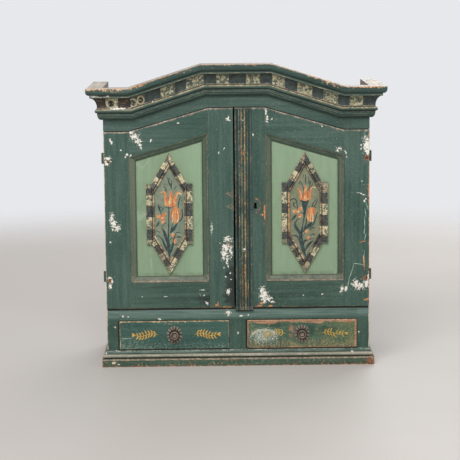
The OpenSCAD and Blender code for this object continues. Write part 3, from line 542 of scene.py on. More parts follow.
def reeded_section():
    """Section of the closing strip, with beads, reeds and two ridges, across from its left edge."""
    half = [(0, 0)] + arc(3, 3.5, 3, 3.5, -90, 90, 8) + [(2.5, 7.2), (2.5, 9.8)]
    half += arc(4, 13.75, 4, 3.75, -90, 90, 8)[1:] + [(4.6, 17.5), (10.4, 17.5), (11, 18.1), (11, 21.9)]
    hollow = [(y, x) for x, y in arc(26.5, 11, 4.2, 3.5, 180, 360, 8)]
    return half + hollow + [(p, 53 - d) for p, d in reversed(half)]


def distinct(section):
    """The section without points that repeat the one before."""
    kept = []
    for point in section:
        if not kept or math.dist(point, kept[-1]) > 0.02:
            kept.append(point)
    return kept


def swept(name, section, origin, run, out, up, start, end, finish, body, node, step=5.0, wear=0.0):
    """A length of moulding, in mm, worked by hand: its ends are cut where start and end say for each
    point of the section, it is a little uneven along its run, and its sharp corners are worn."""
    section = distinct(section)
    count = len(section)
    corners = []
    for i, (p, h) in enumerate(section):
        before, after = Vector(section[i - 1]), Vector(section[(i + 1) % count])
        here = Vector((p, h))
        turn = (here - before).angle(after - here) if p > 1 else 0
        corners.append(((before + after) / 2 - here).normalized() if turn > 0.7 else None)
    stations = max(1, round(max(end(p, h) - start(p, h) for p, h in section) / step))
    points, along, across, proud = [], [], [], []
    for k in range(stations + 1):
        share = k / stations
        for (p, h), inward in zip(section, corners):
            at = start(p, h) + (end(p, h) - start(p, h)) * share
            place = origin + run * at + out * p + up * h
            uneven = 1 - 0.022 * (0.5 + 0.5 * noise.noise(place * 0.013)) if p > 0 else 1
            bitten = 0.0
            if inward is not None and wear:
                bitten = wear * max(0.0, noise.noise(place * 0.16) - 0.05) * (1 + noise.noise(place * 0.03))
            shift = Vector((p * uneven, h)) + (inward * bitten if bitten else Vector((0, 0)))
            points.append((origin + run * at + out * shift.x + up * shift.y) * MM)
            along.append(at * MM)
            across.append(h * MM)
            proud.append(p * MM)
    faces = []
    for k in range(stations):
        for i in range(count):
            j = (i + 1) % count
            a, b = k * count, (k + 1) * count
            faces.append((a + i, a + j, b + j, b + i))
    faces.append(tuple(range(count)))
    faces.append(tuple(range(stations * count, (stations + 1) * count)))
    places = {"along": along, "across": across, "proud": proud}
    shape(name, points, faces, finish, body, [node], 38, places)


def smooth_line(stroke, parts=5):
    """A stroke's points and widths, with more of them set between on an even curve."""
    line = []
    for i in range(len(stroke) - 1):
        p0, p1, p2, p3 = (Vector(stroke[min(max(j, 0), len(stroke) - 1)]) for j in range(i - 1, i + 3))
        for k in range(parts):
            t = k / parts
            line.append(0.5 * (2 * p1 + (p2 - p0) * t + (2 * p0 - 5 * p1 + 4 * p2 - p3) * t * t
                               + (3 * p1 - p0 - 3 * p2 + p3) * t ** 3))
    line.append(Vector(stroke[-1]))
    return line


RIB = ((-1.0, 0.05), (-0.7, 0.72), (0.0, 1.0), (0.7, 0.72), (1.0, 0.05))


def brushwork(name, strokes, centre, face_y, level, finish, body, seed, more=0.0):
    """Strokes of thick paint on a flat face, in mm. Each stroke is a list of x, z and width."""
    rng = random.Random(seed)
    points, faces = [], []
    for stroke in strokes:
        line = smooth_line(stroke)
        for end, inner in ((0, 1), (-1, -2)):
            if line[end].z > 2.5:
                away = (line[end].xy - line[inner].xy).normalized() * line[end].z * 0.28
                tip = Vector((line[end].x + away.x, line[end].y + away.y, line[end].z * 0.55))
                line.insert(0, tip) if end == 0 else line.append(tip)
        first = len(points)
        for i, (x, z, wide) in enumerate(line):
            before, after = line[max(i - 1, 0)], line[min(i + 1, len(line) - 1)]
            run = (after.xy - before.xy).normalized()
            half = (max(wide, 0.4) + more * max(0.0, 1 - wide / 4)) / 2 * rng.uniform(0.93, 1.05)
            for side, crown in RIB:
                points.append((centre[0] + x - run.y * side * half, face_y - level * crown,
                               centre[1] + z + run.x * side * half))
            for side in (1.0, -1.0):
                points.append((centre[0] + x - run.y * side * half, face_y + 0.2,
                               centre[1] + z + run.x * side * half))
        ring = len(RIB) + 2
        for i in range(len(line) - 1):
            a, b = first + i * ring, first + (i + 1) * ring
            faces += [(a + j, a + (j + 1) % ring, b + (j + 1) % ring, b + j) for j in range(ring)]
        faces.append(tuple(first + j for j in range(ring)))
        faces.append(tuple(first + (len(line) - 1) * ring + j for j in range(ring)))
    shape(name, [Vector(p) * MM for p in points], faces, finish, body, (), 60)


# Finishes
TEAL = ((42, 69, 60), (61, 88, 78), (79, 103, 93))
DEEP_TEAL = ((42, 66, 57), (61, 86, 75), (79, 103, 91))
CREAMS = ((172, 152, 120), (214, 198, 165))
PINKS = ((118, 106, 94), (172, 152, 132))
ORANGES = ((132, 96, 68), (204, 152, 104))
GILT = ((192, 132, 66), (238, 204, 138))
# Olive of painted glints
OLIVE_GLINTS = ((104, 122, 98), (138, 146, 116))


def arris(f, face_y):
    """Distance from the front upright edge of the case or a door."""
    return (CASE_X - f.x.size()).most(f.y - face_y - 0.0015)


def door_wear(side, *joints):
    """Wear along a door's outer edge, its foot and its broken top, and joints given as x, reach and share."""
    outer = (0.0028, 0.80, ORANGES) if side > 0 else (0.0021, 0.75, CREAMS)

    def lines(f):
        top = door_top(f)
        return [
            (arris(f, DOOR_Y), *outer),
            (f.z - DOOR_LOW, 0.0016, 0.4, ORANGES),
            (top, 0.0060, 0.85, ((96, 98, 90), (138, 128, 116))),
            ((top - 0.0025).size(), 0.0019, 0.16, ((160, 142, 124), (222, 210, 186))),
        ] + [((f.x.size() - x).size(), reach, share, PINKS) for x, reach, share in joints]
    return lines


def lines_across(table):
    """Lines along a moulding, of wear and in some tables of painted glints and shade, given as its place
    across the section, reach, share and two tones.
    """
    def lines(f):
        across = f.attribute("across")
        return [((across - place).size(), *rest) for place, *rest in table]
    return lines


def squiggles(f, scale, soft, cells, ring_edge):
    """Wavy lines and rings, such as a brush or a comb leaves in light paint."""
    contour = (f.noise(scale, detail=2, warp=1.0) - 0.5).size().rise(*soft)
    return contour.most((f.cells(cells) - 0.30).size().rise(ring_edge, 0.08))


def panel_paint(name, side):
    """Light green of a panel, with a greyer ground inside its hexagon and dirt along the edges."""
    f = Finish(name, side * 3.1)
    shades = [[c + side * 3 for c in shade] for shade in ((124, 149, 120), (138, 162, 132), (150, 173, 143))]
    streak = board_paint(f, "z", shades, 0.5, 0.9, 0.15)
    across = (f.x - side * HEX_X).size()
    slant = math.tan(HEX_SLOPE)
    rise = (f.z - HEX_Z).size()
    inner = HEX_TIP * MM - 0.012 / math.cos(HEX_SLOPE)
    inside = (inner - rise - across * slant).rise(0.0, 0.004) * (0.055 - across).rise(0.0, 0.004)
    tones = ((112, 128, 110), (140, 148, 126)) if side < 0 else ((112, 122, 98), (140, 142, 116))
    ground = f.noise(60, detail=4, rough=0.7).rise(0.3, 0.7).mix(*tones)
    tint = f.noise(210, detail=3, rough=0.7).rise(0.55, 0.62) * f.noise(34, detail=2).rise(0.40, 0.60)
    ground = (tint * (0.3 if side < 0 else 0.55)).mix(ground, (158, 122, 90))
    if side < 0:
        f.lay((f.x + HEX_X).rise(0.02, 0.09) * 0.4, (158, 184, 152))
    f.lay(inside, ground)
    bottom = (f.z - PANEL_LOW - 0.024).rise(0.012, 0.0)
    flank = (across - 0.0965).rise(0.0, 0.012)
    rim = (inner + 0.012 - rise - across * slant).size().rise(0.014, 0.004) * 0.35
    dirt = (bottom.most(flank).most(rim) * f.noise(55, detail=4).rise(0.25, 0.7)).held()
    f.lay(dirt * 0.55, (96, 112, 84))
    scratch = broken_line(f, (f.noise(3.5, (1.0, 1.0, 0.35), 2) - 0.5).size() * 0.05, 0.0006, 0.35)
    f.lay(scratch * 0.5, (176, 190, 170))
    f.lay(specks(f, 60, 0.02, 0.08), (92, 84, 70))
    height = bare_back(f, "z", behind(PANEL_Y + 0.002), streak * 0.35 - scratch)
    return f.done(0.46 + (streak - 0.5) * 0.3, height, 0.0003)


def mould_paint(name, side, shades):
    """Green of the moulding round a panel: dusty, pale along its lips and cracked at the mitres, with painted
    shade where it meets the panel.
    """
    f = Finish(name, side * 5.3)
    streak = board_paint(f, "z", shades, 0.9, 1.0)
    across = f.attribute("across")
    along = f.attribute("along")
    height = streak * 0.3
    low = (f.z - PANEL_LOW - 0.026).rise(0.0, -0.004)
    dust = across.band(0.002, 0.014, 0.020, 0.012) * f.noise(50, (1, 1, 0.3)).rise(0.35, 0.7)
    f.lay(dust * 0.3, (116, 122, 100))
    f.lay(low * f.noise(70, (0.4, 1, 1), 4).rise(0.4, 0.65) * 0.55, (134, 132, 112))
    lip = broken_line(f, (across - 0.0035).size(), 0.0014, 0.45)
    inner_lip = broken_line(f, (0.0207 - across).size(), 0.0008, 0.6)
    mitre = broken_line(f, (along - across).size(), 0.0016, 0.35)
    worn = lip.most(mitre).most(low * broken_line(f, (across - 0.0045).size(), 0.0020, 0.7))
    f.lay(worn, f.noise(160).rise(0.4, 0.6).mix(*PINKS))
    f.lay(inner_lip * 0.6, (128, 112, 82))
    # Painted shade in the crease where the moulding meets the panel
    f.lay(across.band(0.0170, 0.0190, 0.0215, 0.020) * 0.7, (50, 54, 40))
    return f.done(0.55, height - worn, 0.0004)


KINDS = {
    "C": (218, 208, 170), "c": (186, 176, 142), "D": (46, 58, 60), "d": (34, 42, 42), "P": (180, 162, 136),
    "g": (122, 120, 98), "K": (82, 90, 86),
}
LIGHT_KINDS = "CcP"


def block_paint(name, bead, blocks, length, width, shift):
    """Light and dark blocks of a painted strip. Each block is its kind and where it ends, in mm."""
    f = Finish(name, shift)
    along = f.attribute("along") + (f.noise(130, detail=3) - 0.5) * 0.006
    across = f.attribute("across")
    stops, start = [], 0.0
    for kind, *end in blocks.split():
        stops.append((start / length, (*paint(KINDS[kind])[:3], 1.0 if kind in LIGHT_KINDS else 0.0)))
        start = int("".join(end))
    share = along * (1 / (length * MM))
    blocky = f.node("ValToRGB", {"steps": stops}, {"Fac": share})
    light = f.node("ValToRGB", {"steps": stops}, {"Fac": share}, 1)
    blotch = f.noise(90, detail=4, rough=0.65)
    f.colour = (blotch.rise(0.46, 0.68) * (light * 0.2 + 0.22)).mix(blocky, (112, 104, 88))
    f.lay((0.42 - blotch).rise(0.0, 0.1) * 0.35, (46, 54, 50))
    marks = squiggles(f, 95, (0.055, 0.030), 105, 0.14) * light * f.noise(34).rise(0.36, 0.46)
    f.lay(marks * 0.9, (56, 68, 64))
    smear = (f.noise(1.0, (170, 170, 75), 4, 0.7) - 0.5).size().rise(0.030, 0.012)
    f.lay(smear * (0.50 - light * 0.3), (146, 138, 116))
    chipped = (f.noise(240, detail=3, rough=0.7) + f.noise(36) * 0.5).rise(0.90, 0.96) * (1 - light)
    f.lay(chipped * 0.8, (178, 160, 130))
    rim = width * MM
    quirk = across.band(rim - 0.0088, rim - 0.0080, rim - 0.0058, rim - 0.0066)
    f.lay(quirk * 0.75, blotch.rise(0.35, 0.65).mix((48, 48, 42), (112, 98, 80)))
    beading = across.rise(rim - 0.0065, rim - 0.0055) * f.noise(52, detail=3).rise(0.40, 0.52)
    bead_tone = (f.noise(90, detail=4, rough=0.7) + light * 0.12).rise(0.46, 0.62).mix(*BEADS[bead])
    f.lay(beading * 0.85, bead_tone)
    f.lay(broken_line(f, across, 0.0017, 0.5), f.noise(120).rise(0.4, 0.6).mix((128, 98, 76), (196, 172, 138)))
    return f.done(0.55 + (blotch - 0.5) * 0.3, blotch * 0.5 - marks * 0.3 - chipped, 0.0004)


# The cornice's grooves, darkened with painted shade and soot, as place across its section and half width, and
# its lines of wear, with painted glints on its low rounds
GROOVES = ((0.0215, 0.0016), (0.0355, 0.0010), (0.0697, 0.0011), (0.0796, 0.0012), (0.0105, 0.0011),
           (0.0052, 0.0007))
CORNICE_WEAR_AND_GLINTS = lines_across((
    (0.0725, 0.0012, 0.30, CREAMS), (0.0995, 0.0024, 0.75, PINKS), (0.0325, 0.0020, 0.40, CREAMS),
    (0.0375, 0.0016, 0.65, PINKS), (0.0180, 0.0010, 0.25, PINKS), (0.0130, 0.0011, 0.34, OLIVE_GLINTS),
    (0.0079, 0.0009, 0.22, OLIVE_GLINTS),
))


def cornice_paint(name, blocks, axis, shift=0.0, rings=(), chalk=(), bare_edge=()):
    """Dark cornice with light squiggled blocks in its cove, given in mm as first, last, and worn edges;
    painted shade in its grooves and under its foot, and painted glints on its low rounds.
    """
    f = Finish(name, shift)
    place = f.x if axis == "x" else f.y
    across = f.attribute("across")
    proud = f.attribute("proud")
    streak = board_paint(f, axis, ((40, 62, 56), (57, 81, 75), (77, 101, 93)))
    # Painted light and shade: the crown a little darker, and the fillet under it lighter
    f.lay(across.rise(0.0797, 0.0806) * 0.12, (28, 50, 44))
    f.lay(across.band(0.0700, 0.0706, 0.0788, 0.0780) * 0.6, (84, 108, 98))
    olive = f.noise(45, detail=4).rise(0.3, 0.7).mix((74, 88, 68), (122, 124, 98))
    f.lay(across.band(0.0262, 0.0300, 0.0350, 0.0342) * 0.8, olive)
    cove = across.band(0.0355, 0.0372, 0.0712, 0.0698)
    cove_blocks(f, cove, place, blocks, rings, brown=axis == "x")
    # Painted shade, with soot, in the grooves and under the cornice's foot
    under = across.rise(0.0030, 0.0005)
    shade_and_soot = greatest([(across - line).size().rise(half * 1.4, half * 0.4) for line, half in GROOVES] + [under])
    f.lay(shade_and_soot * proud.rise(0.004, 0.005) * 0.85, (28, 34, 28))
    # worn holds the painted glints on the low rounds too
    worn = greatest(lay_lines(f, CORNICE_WEAR_AND_GLINTS(f)))
    crumb = f.noise(150, detail=4, rough=0.7)
    chips = (crumb + f.noise(14, detail=2) * 0.7).rise(0.99, 1.03) * across.rise(0.086, 0.092)
    for middle, half, share in bare_edge:
        zone = (place - middle * MM).size().rise(half * 1.25 * MM, half * 0.8 * MM)
        patch = (crumb - 0.5) * 0.034 + (f.noise(26, detail=2) - 0.5) * 0.030
        chips = chips.most(zone * (across - 0.1 + share * MM + patch).rise(0.0, 0.0012))
    f.lay(chips, f.noise(200).rise(0.4, 0.6).mix((178, 112, 70), (218, 192, 158)))
    if chalk:
        mask = flaked(f, f.spots(chalk, y=-0.172, deep=0.05), 0.7)
        f.lay(mask, WHITE)
        worn = worn.most(mask)
    bare = f.noise(1.0, grained(axis, 3, 60), 4).rise(0.3, 0.7)
    top = proud.rise(0.0505, 0.0490) * across.rise(0.0993, 0.0997)
    f.lay(top, bare.mix((148, 139, 127), (196, 186, 171)))
    f.lay(proud.rise(0.0008, 0.0002), bare.mix((84, 66, 54), (134, 110, 92)))
    return f.done(0.55 + (streak - 0.5) * 0.3, streak * 0.3 - worn - chips, 0.0004)


def cove_blocks(f, cove, place, blocks, rings, brown):
    """The cove's dark ground, its light blocks with squiggles, and rings at its left end, which is brown."""
    ground = f.noise(60, detail=4).rise(0.3, 0.7).mix((46, 56, 54), (72, 84, 80))
    if brown:
        west = place.rise(-0.285, -0.335)
        ground = (west * 0.85).mix(ground, f.noise(90, detail=3).mix((38, 34, 32), (70, 60, 52)))
        dash = (f.noise(1.0, (45, 60, 260), 3) - 0.60).rise(0.0, 0.02)
        ground = (dash * west * 0.6).mix(ground, (172, 122, 88))
    f.lay(cove, ground)
    black, white = (0.0, 0.0, 0.0, 1.0), (1.0, 1.0, 1.0, 1.0)
    stops, low = [(0.0, black)], -0.5
    for first, last in blocks:
        stops += [(first * MM - low, white), (last * MM - low, black)]
    wobbly = place + (f.noise(90, detail=3) - 0.5) * 0.007 - low
    block = f.node("ValToRGB", {"steps": stops}, {"Fac": wobbly}) * cove
    f.lay(block * 0.94, f.noise(80, detail=4).rise(0.3, 0.7).mix((158, 150, 118), (214, 205, 172)))
    marks = squiggles(f, 50, (0.065, 0.035), 55, 0.12) * block
    if rings:
        near = f.spots(rings, y=-0.168, deep=0.06)
        marks = marks * near.rise(1.0, 1.1)
        wavy = near + (f.noise(150, detail=3) - 0.5) * 0.5
        outside = wavy.rise(1.06, 1.16) * block * place.rise(-0.284, -0.287) * place.rise(-0.350, -0.346)
        f.lay(outside * 0.8, (50, 50, 44))
        f.lay(wavy.rise(0.74, 0.66) * cove, (44, 46, 42))
        swirl = (f.cells(120) - 0.32).size().rise(0.16, 0.08) * wavy.rise(0.66, 0.5)
        f.lay(swirl * cove * 0.85, (150, 150, 132))
    f.lay((marks * 0.9).held(), (66, 84, 76))


def brushed(name, dark, middle, light, shift):
    """Thick brush colour with the hairs' streaks in it."""
    f = Finish(name, shift)
    hairs = f.noise(1.0, (260, 260, 110), 3, 0.6)
    cloud = f.noise(70, detail=3)
    tone = ((hairs - 0.5) * 1.1 + (cloud - 0.5) * 1.2 + 0.5).held()
    f.colour = f.ramp(tone, (0.2, dark), (0.5, middle), (0.8, light))
    return f.done(0.5 + (hairs - 0.5) * 0.2, hairs, 0.0002)


# Camera, floor and light
camera = bpy.data.objects.new("camera", bpy.data.cameras.new("camera"))
bpy.context.scene.collection.objects.link(camera)
bpy.context.scene.camera = camera
camera.data.lens = 131.95
camera.data.sensor_width = 36.0
yaw, pitch, roll = (math.radians(a) for a in (0.697, 8.518, -0.539))
ahead = Vector((math.sin(yaw) * math.cos(pitch), math.cos(yaw) * math.cos(pitch), -math.sin(pitch)))
level = Vector((math.cos(yaw), -math.sin(yaw), 0.0))
above = level.cross(ahead)
right = level * math.cos(roll) + above * math.sin(roll)
upward = above * math.cos(roll) - level * math.sin(roll)
turned = Matrix((right, upward, -ahead)).transposed().to_4x4()
camera.matrix_world = Matrix.Translation((-0.088, -5.455, 1.235)) @ turned

view = bpy.context.scene.view_settings
view.view_transform = "Standard"


def stage_floor():
    """A wide round floor that fades out far from the cupboard."""
    rings, spokes = (0.0, 0.8, 1.6, 2.4, 3.2, 4.0), 64
    points = [(0.0, 0.0, 0.0)]
    turns = [math.tau * i / spokes for i in range(spokes)]
    for r in rings[1:]:
        points += [(r * math.cos(turn), r * math.sin(turn), 0.0) for turn in turns]
    faces = [(0, 1 + i, 1 + (i + 1) % spokes) for i in range(spokes)]
    for k in range(len(rings) - 2):
        a, b = 1 + k * spokes, 1 + (k + 1) * spokes
        faces += [(a + i, b + i, b + (i + 1) % spokes, a + (i + 1) % spokes) for i in range(spokes)]
    mesh = bpy.data.meshes.new("floor")
    mesh.from_pydata(points, [], faces)
    floor = bpy.data.objects.new("floor", mesh)
    bpy.context.scene.collection.objects.link(floor)
    f = Finish("floor_paint")
    cloud = f.noise(1.2, detail=5)
    f.colour = cloud.mix((192, 186, 181), (203, 198, 193))
    reach = f.node("VectorMath", {"operation": "LENGTH"}, {0: f.place}, "Value")
    f.done(0.6, cloud, 0.001)
    clear = f.tree.nodes.new("ShaderNodeBsdfTransparent")
    blend = f.tree.nodes.new("ShaderNodeMixShader")
    fade = reach.rise(2.2, 3.9)
    f.tree.links.new(fade.socket, blend.inputs[0])
    f.tree.links.new(f.shader.outputs[0], blend.inputs[1])
    f.tree.links.new(clear.outputs[0], blend.inputs[2])
    f.tree.links.new(blend.outputs[0], f.tree.nodes["Material Output"].inputs[0])
    mesh.materials.append(f.material)


def backdrop_and_fill():
    """Soft grey-white surroundings, seen by the camera and in gloss as a pale wall."""
    world = bpy.data.worlds.new("studio")
    bpy.context.scene.world = world
    world.use_nodes = True
    tree = world.node_tree
    fill = tree.nodes["Background"]
    fill.inputs[0].default_value = (1.0, 0.99, 0.98, 1.0)
    fill.inputs[1].default_value = FILL_LIGHT
    wall = tree.nodes.new("ShaderNodeBackground")
    wall.inputs[0].default_value = paint((231, 232, 235))
    rays = tree.nodes.new("ShaderNodeLightPath")
    seen = rays.outputs["Is Camera Ray"]
    for name in ("Is Glossy Ray", "Is Transmission Ray"):
        either = tree.nodes.new("ShaderNodeMath")
        either.operation = "MAXIMUM"
        tree.links.new(seen, either.inputs[0])
        tree.links.new(rays.outputs[name], either.inputs[1])
        seen = either.outputs[0]
    chosen = tree.nodes.new("ShaderNodeMixShader")
    tree.links.new(seen, chosen.inputs[0])
    tree.links.new(fill.outputs[0], chosen.inputs[1])
    tree.links.new(wall.outputs[0], chosen.inputs[2])
    tree.links.new(chosen.outputs[0], tree.nodes["World Output"].inputs[0])


def soft_light(name, place, target, wide, high, watts):
    lamp = bpy.data.objects.new(name, bpy.data.lights.new(name, "AREA"))
    bpy.context.scene.collection.objects.link(lamp)
    lamp.data.shape = "RECTANGLE"
    lamp.data.size, lamp.data.size_y = wide, high
    lamp.data.energy = watts
    lamp.location = place
    lamp.rotation_euler = (Vector(target) - Vector(place)).to_track_quat("-Z", "Y").to_euler()


FILL_LIGHT = 0.42
stage_floor()
backdrop_and_fill()
soft_light("window_light", (-0.9, -3.6, 4.0), (0.0, 0.0, 0.5), 3.4, 2.2, 190.0)
soft_light("rear_light", (1.8, 4.2, 3.0), (0.0, 0.0, 0.5), 3.0, 2.4, 100.0)

# The painted boards. Marks are in mm: x, z, half width, half height, and turn in degrees where they lean
CHALK = {
    "left_outer_stile": [(-398, 728, 4, 5), (-395, 720, 3, 4), (-366, 699, 3, 3), (-348, 682, 3, 8, -30),
        (-408, 671, 9, 5), (-415, 663, 3, 9), (-400, 663, 3, 6), (-409, 655, 5, 5), (-399, 482, 6, 13),
        (-392, 463, 8, 10), (-381, 450, 9, 11), (-396, 445, 2, 3), (-405, 405, 2, 5), (-410, 288, 9, 4),
        (-402, 280, 3, 10), (-408, 262, 5, 8)],
    "left_top_rail": [(-334, 753, 8, 4), (-322, 741, 12, 9), (-312, 727, 9, 8), (-306, 714, 5, 7),
        (-302, 704, 3, 4), (-271, 728, 3, 4), (-184, 782, 5, 2), (-226, 788, 3, 2), (-337, 678, 4, 6, -30)],
    "left_inner_stile": [(-26, 792, 6, 4), (-25, 797, 2, 5), (-40, 700, 2, 3), (-57, 685, 2, 3),
        (-82, 440, 3, 16), (-30, 410, 10, 9), (-39, 384, 11, 15), (-43, 362, 8, 17), (-34, 343, 4, 16),
        (-21, 372, 5, 15), (-30, 322, 2, 4), (-44, 318, 3, 3), (-24, 300, 2, 2), (-38, 288, 2, 2),
        (-21, 279, 2, 2), (-30, 240, 5, 8)],
    "left_bottom_rail": [(-112, 246, 9, 1.6), (-121, 230, 2, 1.5), (-107, 229, 3.5, 1.5), (-99, 204, 5.5, 4),
        (-93, 223, 2, 2), (-306, 227, 1.6, 1.6), (-230, 226, 5, 1.2)],
    "right_top_rail": [(94, 815, 3, 9), (97, 794, 3, 13), (112, 792, 3, 3), (270, 768, 4, 2),
        (325, 697, 7, 3.5), (321, 689, 4.5, 4.5), (331, 695, 3, 4)],
    "right_inner_stile": [(78, 244, 8, 10), (84, 226, 11, 17), (88, 208, 9, 8), (52, 744, 2, 3)],
    "right_bottom_rail": [(91, 232, 6, 9), (97, 214, 10, 8), (109, 205, 6, 3), (334, 245, 5, 9),
        (330, 236, 3, 3), (210, 226, 2, 2), (270, 228, 3, 2)],
    "right_outer_stile": [(413, 706, 9, 26), (415, 690, 9, 15), (394, 707, 2.5, 2), (394.5, 696, 2.5, 3.5),
        (384, 555, 5, 1.2), (394, 552, 5, 2.0, -20), (402, 548, 4, 2.5), (397, 592, 2, 2), (404, 579, 3, 2),
        (405, 528, 2.5, 3.5), (410, 534, 2, 2.5), (346, 683, 1.8, 6, 30), (348, 672, 1.6, 3),
        (379, 262, 11, 12), (394, 254, 12, 10), (411, 262, 8, 13), (417, 278, 4, 14), (346, 245, 5, 9)],
    "drawer_rail": [(-32, 172, 9, 5), (-31, 169, 3, 9), (-369, 163, 3, 3), (-353, 161, 3, 2),
        (-251, 153, 5, 3), (9, 160, 6, 2.5), (32, 163, 3, 2.5)],
    "drawer_post": [(-1, 104, 3, 4)],
    "frame_stiles": [(-396, 128, 4, 2), (389, 104, 2, 3)],
}
WOOD = {
    "left_outer_stile": [(-410, 655, 7, 6), (-409, 279, 7, 7)],
    "left_inner_stile": [(-27, 391, 4, 8), (-67, 196, 7, 4), (-64, 201, 2, 6), (-40, 190, 18, 2)],
    "right_inner_stile": [(87.5, 494, 4.2, 26), (82, 488, 4, 5), (77, 202, 8, 6), (70, 193, 10, 3)],
    "right_bottom_rail": [(106, 192, 9, 3)],
    "right_outer_stile": [(420, 562, 4.0, 36), (401, 398, 11, 1.6, 8), (409, 279, 9, 9), (404, 330, 3, 26, 6),
        (414, 211, 10, 3, 20)],
}
# Dark patches of painted shade beside the closing strip, widest low down, with some soot
SHADE_AND_SOOT = {
    "left_inner_stile": [(-10, 262, 40, 125), (-8, 222, 46, 60), (-6, 480, 8, 340)],
    "left_bottom_rail": [(-92, 212, 42, 26)],
}
NAILS = {
    "right_outer_stile": [(411.5, 666, 8.5, 8.5), (410, 281, 7, 7)],
    "left_outer_stile": [(-407, 662, 6, 5.5), (-409, 281, 5, 5.5)],
}
DRIPS = {
    "right_outer_stile": [(413, 514, 1.4, 16, 18), (408.5, 490, 1.4, 16, 8), (406, 462, 1.4, 18, 2),
        (405.5, 434, 1.4, 16, -6), (408, 412, 1.4, 13, -14), (354, 262, 1.3, 26, -10),
        (365, 302, 1.3, 26, -18), (388, 325, 20, 1.3, -8), (404, 350, 1.3, 22, -6)],
    "left_inner_stile": [(-82, 440, 2.2, 17, -4)],
    "left_drawer_front": [(-359, 90, 20, 0.9, 1), (-378, 76, 0.8, 14)],
}


def board(node, slot="green_paint", grain="z", width=0.8, rules=(), **look):
    """A painted board: its eased form and its own finish."""
    kinds = {"chalk": CHALK, "wood": WOOD, "shade_and_soot": SHADE_AND_SOOT, "nails": NAILS, "drips": DRIPS}
    marks = {kind: table.get(node, ()) for kind, table in kinds.items()}
    finish = green_paint(node + "_paint", grain, len(node) * 1.7 + len(look), **marks, **look)
    eased(node, finish, rules, width)


def outer_edge(limit, axis=0):
    """A test for the edges of a board that lie on one of its sides."""
    return lambda co: abs(co[axis] - limit) < 1.5 * NEAR


def knocked(f):
    """Two wedge-shaped knocks beside the closing strip, rubbed to grey-brown."""
    for x, z in ((-0.038, 0.556), (-0.035, 0.515)):
        wedge = (f.x - x) * 0.52 - (f.z - z).size()
        rim = wedge.band(-0.0008, 0.0006, 0.0040, 0.0020)
        crumb = f.noise(120, detail=4, rough=0.7).rise(0.36, 0.56)
        f.lay(((wedge.rise(-0.001, 0.001) * 0.35 + rim * 0.5) * crumb).held(), (146, 120, 100))


SHOULDER_JOINT, CREST_JOINT = (SHOULDER_X, 0.0011, 0.12), (CREST_X, 0.0013, 0.35)
for side, name in SIDES:
    board(name + "_outer_stile", shades=TEAL, rules=[(outer_edge(side * CASE_X), 2.2, 3)],
          lines=door_wear(side, SHOULDER_JOINT), dots=0.22)
    board(name + "_inner_stile", shades=TEAL, over=knocked if side < 0 else None,
          lines=door_wear(side, CREST_JOINT), dots=0.25)
    board(name + "_top_rail", grain="x", shades=TEAL, dots=0.18,
          lines=door_wear(side, (SHOULDER_X, 0.0013, 0.30 if side > 0 else 0.12), CREST_JOINT))
    board(name + "_bottom_rail", grain="x", shades=DEEP_TEAL, dots=0.55,
          lines=door_wear(side, SHOULDER_JOINT, (CREST_X, 0.0011, 0.12)))

FRIEZE = ((47, 73, 65), (66, 89, 81), (84, 106, 97))
LOW = ((39, 66, 56), (57, 84, 73), (75, 102, 90))


def paler_rail(f):
    """The rail above the drawers catches more light and hands than the rest of the low frame, so it is
    painted paler; painted shadow lies in the gap under the doors, round the drawers and under the strip's
    foot.
    """
    rail = (f.z - 0.152).rise(-0.004, 0.014) * f.z.rise(0.20, 0.186)
    tone = f.noise(1.0, (6, 60, 160), 4, 0.6).rise(0.3, 0.7)
    f.lay(rail * 0.7, tone.mix((78, 103, 95), (126, 149, 142)))
    # Painted shadow in the gap under the doors, round the drawer openings and under the closing strip's foot
    gap = (f.z - 0.1814).rise(0.0, 0.0014)
    lean = (0.5 - f.x.rise(-0.001, 0.001)) * 0.0038
    beside = (f.x.size() - PULL_X - lean).size() - 0.1775
    above = (f.z - 0.0995).size() - 0.047
    strip = ((f.x - 0.0205).size() - 0.028).rise(0.002, -0.001)
    under_strip = strip * (f.z - 0.1785).size().rise(0.0042, 0.0020)
    shade_and_soot = gap.most(beside.most(above).rise(0.0026, 0.0012) * 0.9).most(under_strip * 0.8)
    f.lay(shade_and_soot * (f.y - FACE_Y).rise(0.006, 0.003), (18, 22, 18))


def low_lines(f):
    return [(arris(f, FACE_Y), 0.0028, 0.75, CREAMS)]


board("frieze_board", "frieze_paint", "x", shades=FRIEZE, dots=0.12,
      inner=lambda f: (f.y - FACE_Y - 0.0025).rise(0.0, 0.0006))
board("drawer_rail", "frieze_paint", "x", shades=LOW, over=paler_rail, lines=low_lines, dots=0.35)
board("frame_stiles", "green_paint", "z", shades=LOW, over=paler_rail, lines=low_lines,
      rules=[(outer_edge(side * CASE_X), 2.0, 3) for side in (-1, 1)])
board("drawer_post", shades=LOW, over=paler_rail)
board("lower_rail", "green_paint", "x", shades=LOW)


def foot_wear(f):
    """Pale top edge and brown chipped foot of the base board."""
    return [
        ((f.z - 0.0236).size(), 0.0025, 0.95, ((132, 116, 98), (182, 162, 140))),
        (f.z, 0.0034, 0.60, ((112, 70, 52), (186, 134, 96))),
        ((0.437 - f.x.size()), 0.003, 0.8, ((118, 84, 62), (170, 128, 96))),
    ]


